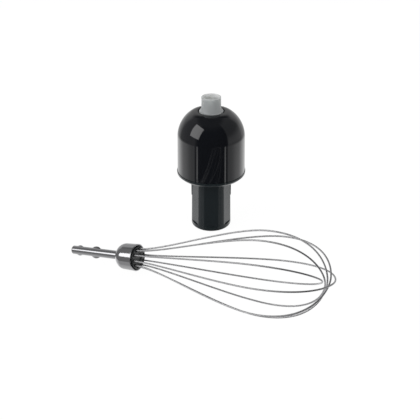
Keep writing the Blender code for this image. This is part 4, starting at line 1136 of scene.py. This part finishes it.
drive_end = hexagon(SPINDLE_HEX_MARK, SPINDLE_HEX_FLATS, SPINDLE_HEX_CORNER, math.pi / 6)
spindle = turned("spindle_moulding", spindle_outline(), 96, plug_black, carve=drive_end)
socket_top = bottom("output_spindle") + STEM_SOCKET_DEPTH
slot_low, slot_high = (-SLOT_REACH, -SLOT_HALF, -0.001), (SLOT_REACH, SLOT_HALF, socket_top)
bore = rod_mesh("bore", STEM_HOLE, -0.001, socket_top, 64, adapter_frame)
cut(spindle, [bore, block_mesh("slot", slot_low, slot_high, adapter_frame)])
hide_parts("output_spindle")
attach(spindle, "carrier")

for node in ("lower_bush", "upper_bush"):
    inner, outer = SPINDLE_RADIUS + GAP, half_width(node)
    above = [(inner, top(node)), (outer, top(node), 0.0004)]
    below = [(outer, bottom(node), 0.0004), (inner, bottom(node))]
    ring = turned(f"{node}_ring", rounded(above + below), 96, sintered_bronze)
    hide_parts(node)
    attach(ring, "housing")
print("spindle faces:", len(spindle.data.polygons))

# %% [markdown]
# ## Pieces that keep their CAD shape
#
# The gears, the carrier, the shaft and the small rings inside the adapter are already right in
# shape. They only get their finish.

# %% Finishes for the CAD nodes that stay
FINISH_OF_SLOT = {
    "natural_nylon": natural_nylon,
    "plug_black": plug_black,
    "polished_steel": polished_steel,
    "bright_steel": turned_steel,
    "sintered_bronze": sintered_bronze,
    "gear_acetal": gear_acetal,
    "black_rubber": black_rubber,
    "dome_black": gloss_black,
    "nose_black": satin_black,
}

for entry in frame["record"]["subparts"]:
    materials = frame["nodes"][entry["node"]].data.materials
    materials.clear()
    materials.append(FINISH_OF_SLOT[entry["material_slot"]])

# %% [markdown]
# ## Floor, light and camera
#
# The photograph has a white background and hardly a shadow. The floor is white for the camera, with
# a part of it left to the real light, so that a faint shadow stays. It isn't seen in reflections,
# where the world takes its place.
#
# What shapes black gloss and steel is what they mirror. In the photograph the dome mirrors a white
# table at its sides, a dim studio in front, and one square lamp at the upper left. The world shows
# that room to glossy rays alone. It is a sum of soft panels, each between two azimuths and two
# elevations, which is easier to adjust to a photograph than real walls would be.

# %% The floor
WHITE = (1.0, 1.0, 1.0, 1.0)
PAPER = (0.86, 0.86, 0.86, 1.0)
GLOW = 1.03
GLOW_SHARE = 0.94
FLOOR_SIZE = 6.0
FLOOR_DROP = 0.0001


def math_node(tree, operation, *values):
    """A Math node whose inputs are sockets or plain numbers."""
    return add_node(tree, "Math", dict(enumerate(values)), operation=operation)


def make_floor():
    material = bpy.data.materials.new("white_floor")
    material.use_nodes = True
    tree = material.node_tree
    tree.nodes.clear()
    paper = add_node(tree, "BsdfDiffuse", {"Color": PAPER})
    glow = add_node(tree, "Emission", {"Color": WHITE, "Strength": GLOW})
    seen = add_node(tree, "LightPath", output="Is Camera Ray")
    share = math_node(tree, "MULTIPLY", seen, GLOW_SHARE)
    mixed = add_node(tree, "MixShader", {"Fac": share, 1: paper, 2: glow})
    add_node(tree, "OutputMaterial", {"Surface": mixed})
    shape = bmesh.new()
    bmesh.ops.create_grid(shape, x_segments=1, y_segments=1, size=FLOOR_SIZE)
    floor = add_object("floor", mesh_of(shape, "floor"))
    floor.data.materials.append(material)
    floor.location.z = -FLOOR_DROP
    floor.visible_glossy = False


make_floor()

# %% The room that gloss and steel mirror
# An azimuth is counted from the camera's side to its right, and an elevation from the horizon up.
AMBIENT = 0.70
ROOM_SHADE = 0.045
# Each panel: the sides it is on, its azimuths, its elevations, how soft its edges are, and its shade.
PANELS = (
    ("table's edge", "both", (46, 50.5), (-46, -20), (1.5, 4), 1.50),
    ("table at the sides", "both", (57, 181), (-50, -19), (4, 6), 0.55),
    ("table further round", "both", (82, 181), (-50, -19), (16, 6), 0.45),
    ("table behind the sides", "both", (116, 150), (-50, -19), (12, 6), 0.45),
    ("table underfoot", "both", (-1, 181), (-91, -50), (0.5, 7), 0.82),
    ("backdrop's foot", "both", (128, 181), (-19, 8), (10, 8), 0.72),
    ("backdrop", "both", (128, 181), (8, 38), (10, 10), 0.50),
    ("backdrop beside the middle", "both", (128, 160), (8, 38), (10, 10), 0.16),
    ("wall on the left", "left", (52, 130), (-19, 54), (8, 10), 0.27),
    ("wall on the right", "right", (57, 130), (-17, 10), (3, 10), 0.50),
    ("upper wall on the right", "right", (57, 130), (10, 60), (3, 10), 0.22),
    ("ceiling", "both", (-1, 181), (52, 91), (0.5, 16), 0.08),
)


def direction_part(tree, where, axis):
    """How far each direction points along an axis."""
    return add_node(tree, "VectorMath", {0: where, 1: axis}, "Value", operation="DOT_PRODUCT")


def step_node(tree, value, edge, soft):
    """A soft step from 0 to 1 at an edge, in degrees."""
    ends = {"From Min": math.radians(edge - soft), "From Max": math.radians(edge + soft), "Value": value}
    return add_node(tree, "MapRange", ends, "Result", interpolation_type="SMOOTHSTEP")


def window(tree, value, edges, soft):
    """1 between two edges and 0 outside them."""
    return math_node(tree, "SUBTRACT", *(step_node(tree, value, edge, soft) for edge in edges))


def room_brightness(tree):
    """The sum of the room's panels, as a socket."""
    where = add_node(tree, "TexCoord", output="Generated")
    right = Vector((math.cos(CAMERA_AZIMUTH), math.sin(CAMERA_AZIMUTH), 0.0))
    towards = Vector((math.sin(CAMERA_AZIMUTH), -math.cos(CAMERA_AZIMUTH), 0.0))
    sideways = direction_part(tree, where, right)
    signed = math_node(tree, "ARCTAN2", sideways, direction_part(tree, where, towards))
    azimuth = {
        "both": math_node(tree, "ABSOLUTE", signed),
        "right": signed,
        "left": math_node(tree, "MULTIPLY", signed, -1.0),
    }
    elevation = math_node(tree, "ARCSINE", direction_part(tree, where, Vector((0.0, 0.0, 1.0))))
    total = ROOM_SHADE
    for what, sides, azimuths, elevations, soft, strength in PANELS:
        across = window(tree, azimuth[sides], azimuths, soft[0])
        upright = window(tree, elevation, elevations, soft[1])
        part = math_node(tree, "MULTIPLY", math_node(tree, "MULTIPLY", across, upright), strength)
        total = math_node(tree, "ADD", part, total)
    return total


# %% The world: a plain light, and the room for glossy rays alone
def background(tree, strength):
    return add_node(tree, "Background", {"Color": WHITE, "Strength": strength})


def make_world():
    world = bpy.context.scene.world or bpy.data.worlds.new("room")
    bpy.context.scene.world = world
    world.use_nodes = True
    tree = world.node_tree
    tree.nodes.clear()
    ray = add_node(tree, "LightPath").node.outputs
    mirrored = math_node(tree, "MAXIMUM", ray["Is Glossy Ray"], ray["Is Transmission Ray"])
    room = background(tree, room_brightness(tree))
    lit = {"Fac": mirrored, 1: background(tree, AMBIENT), 2: room}
    lit = add_node(tree, "MixShader", lit)
    whole = {"Fac": ray["Is Camera Ray"], 1: lit, 2: background(tree, 1.0)}
    add_node(tree, "OutputWorld", {"Surface": add_node(tree, "MixShader", whole)})
    print("world nodes:", len(tree.nodes))


make_world()

# %% The square lamp that the dome mirrors
LAMP_DIRECTION = Vector((-0.495, -0.720, 0.508)).normalized()
LAMP_ROLL = math.radians(-3)
LAMP_DISTANCE = 1.00
LAMP_WIDTH = 0.66
LAMP_HEIGHT = 0.73
LAMP_POWER = 3.8
LAMP_TARGET = adapter_frame @ Vector((-0.0105, -0.0190, 0.0836))

light = bpy.data.lights.new("square_lamp", "AREA")
light.shape = "RECTANGLE"
light.size = LAMP_WIDTH
light.size_y = LAMP_HEIGHT
light.energy = LAMP_POWER
lamp = add_object("square_lamp", light)
lamp.location = LAMP_TARGET + LAMP_DIRECTION * LAMP_DISTANCE
aim = LAMP_DIRECTION.to_track_quat("Z", "Y").to_matrix() @ Matrix.Rotation(LAMP_ROLL, 3, "Z")
lamp.rotation_euler = aim.to_euler()
print("lamp at:", [round(c, 2) for c in lamp.location])

# %% The camera
# It stands where the photograph's did: half a metre away, looking down at the two halves.
CAMERA_FROM_ADAPTER = Vector((0.18871, -0.39593, 0.25640))
CAMERA_ELEVATION = math.radians(29.25)
LENS_MM = 54.3
SENSOR_MM = 36.0

camera_data = bpy.data.cameras.new("camera")
camera_data.lens = LENS_MM
camera_data.sensor_width = SENSOR_MM
camera_data.clip_start = 0.01
camera_data.clip_end = 50.0
camera = add_object("camera", camera_data)
camera.location = ADAPTER_FOOT + CAMERA_FROM_ADAPTER
camera.rotation_euler = (math.pi / 2 - CAMERA_ELEVATION, 0.0, CAMERA_AZIMUTH)
bpy.context.scene.camera = camera
bpy.context.scene.view_settings.view_transform = "Standard"
print("camera at:", [round(c, 3) for c in camera.location])
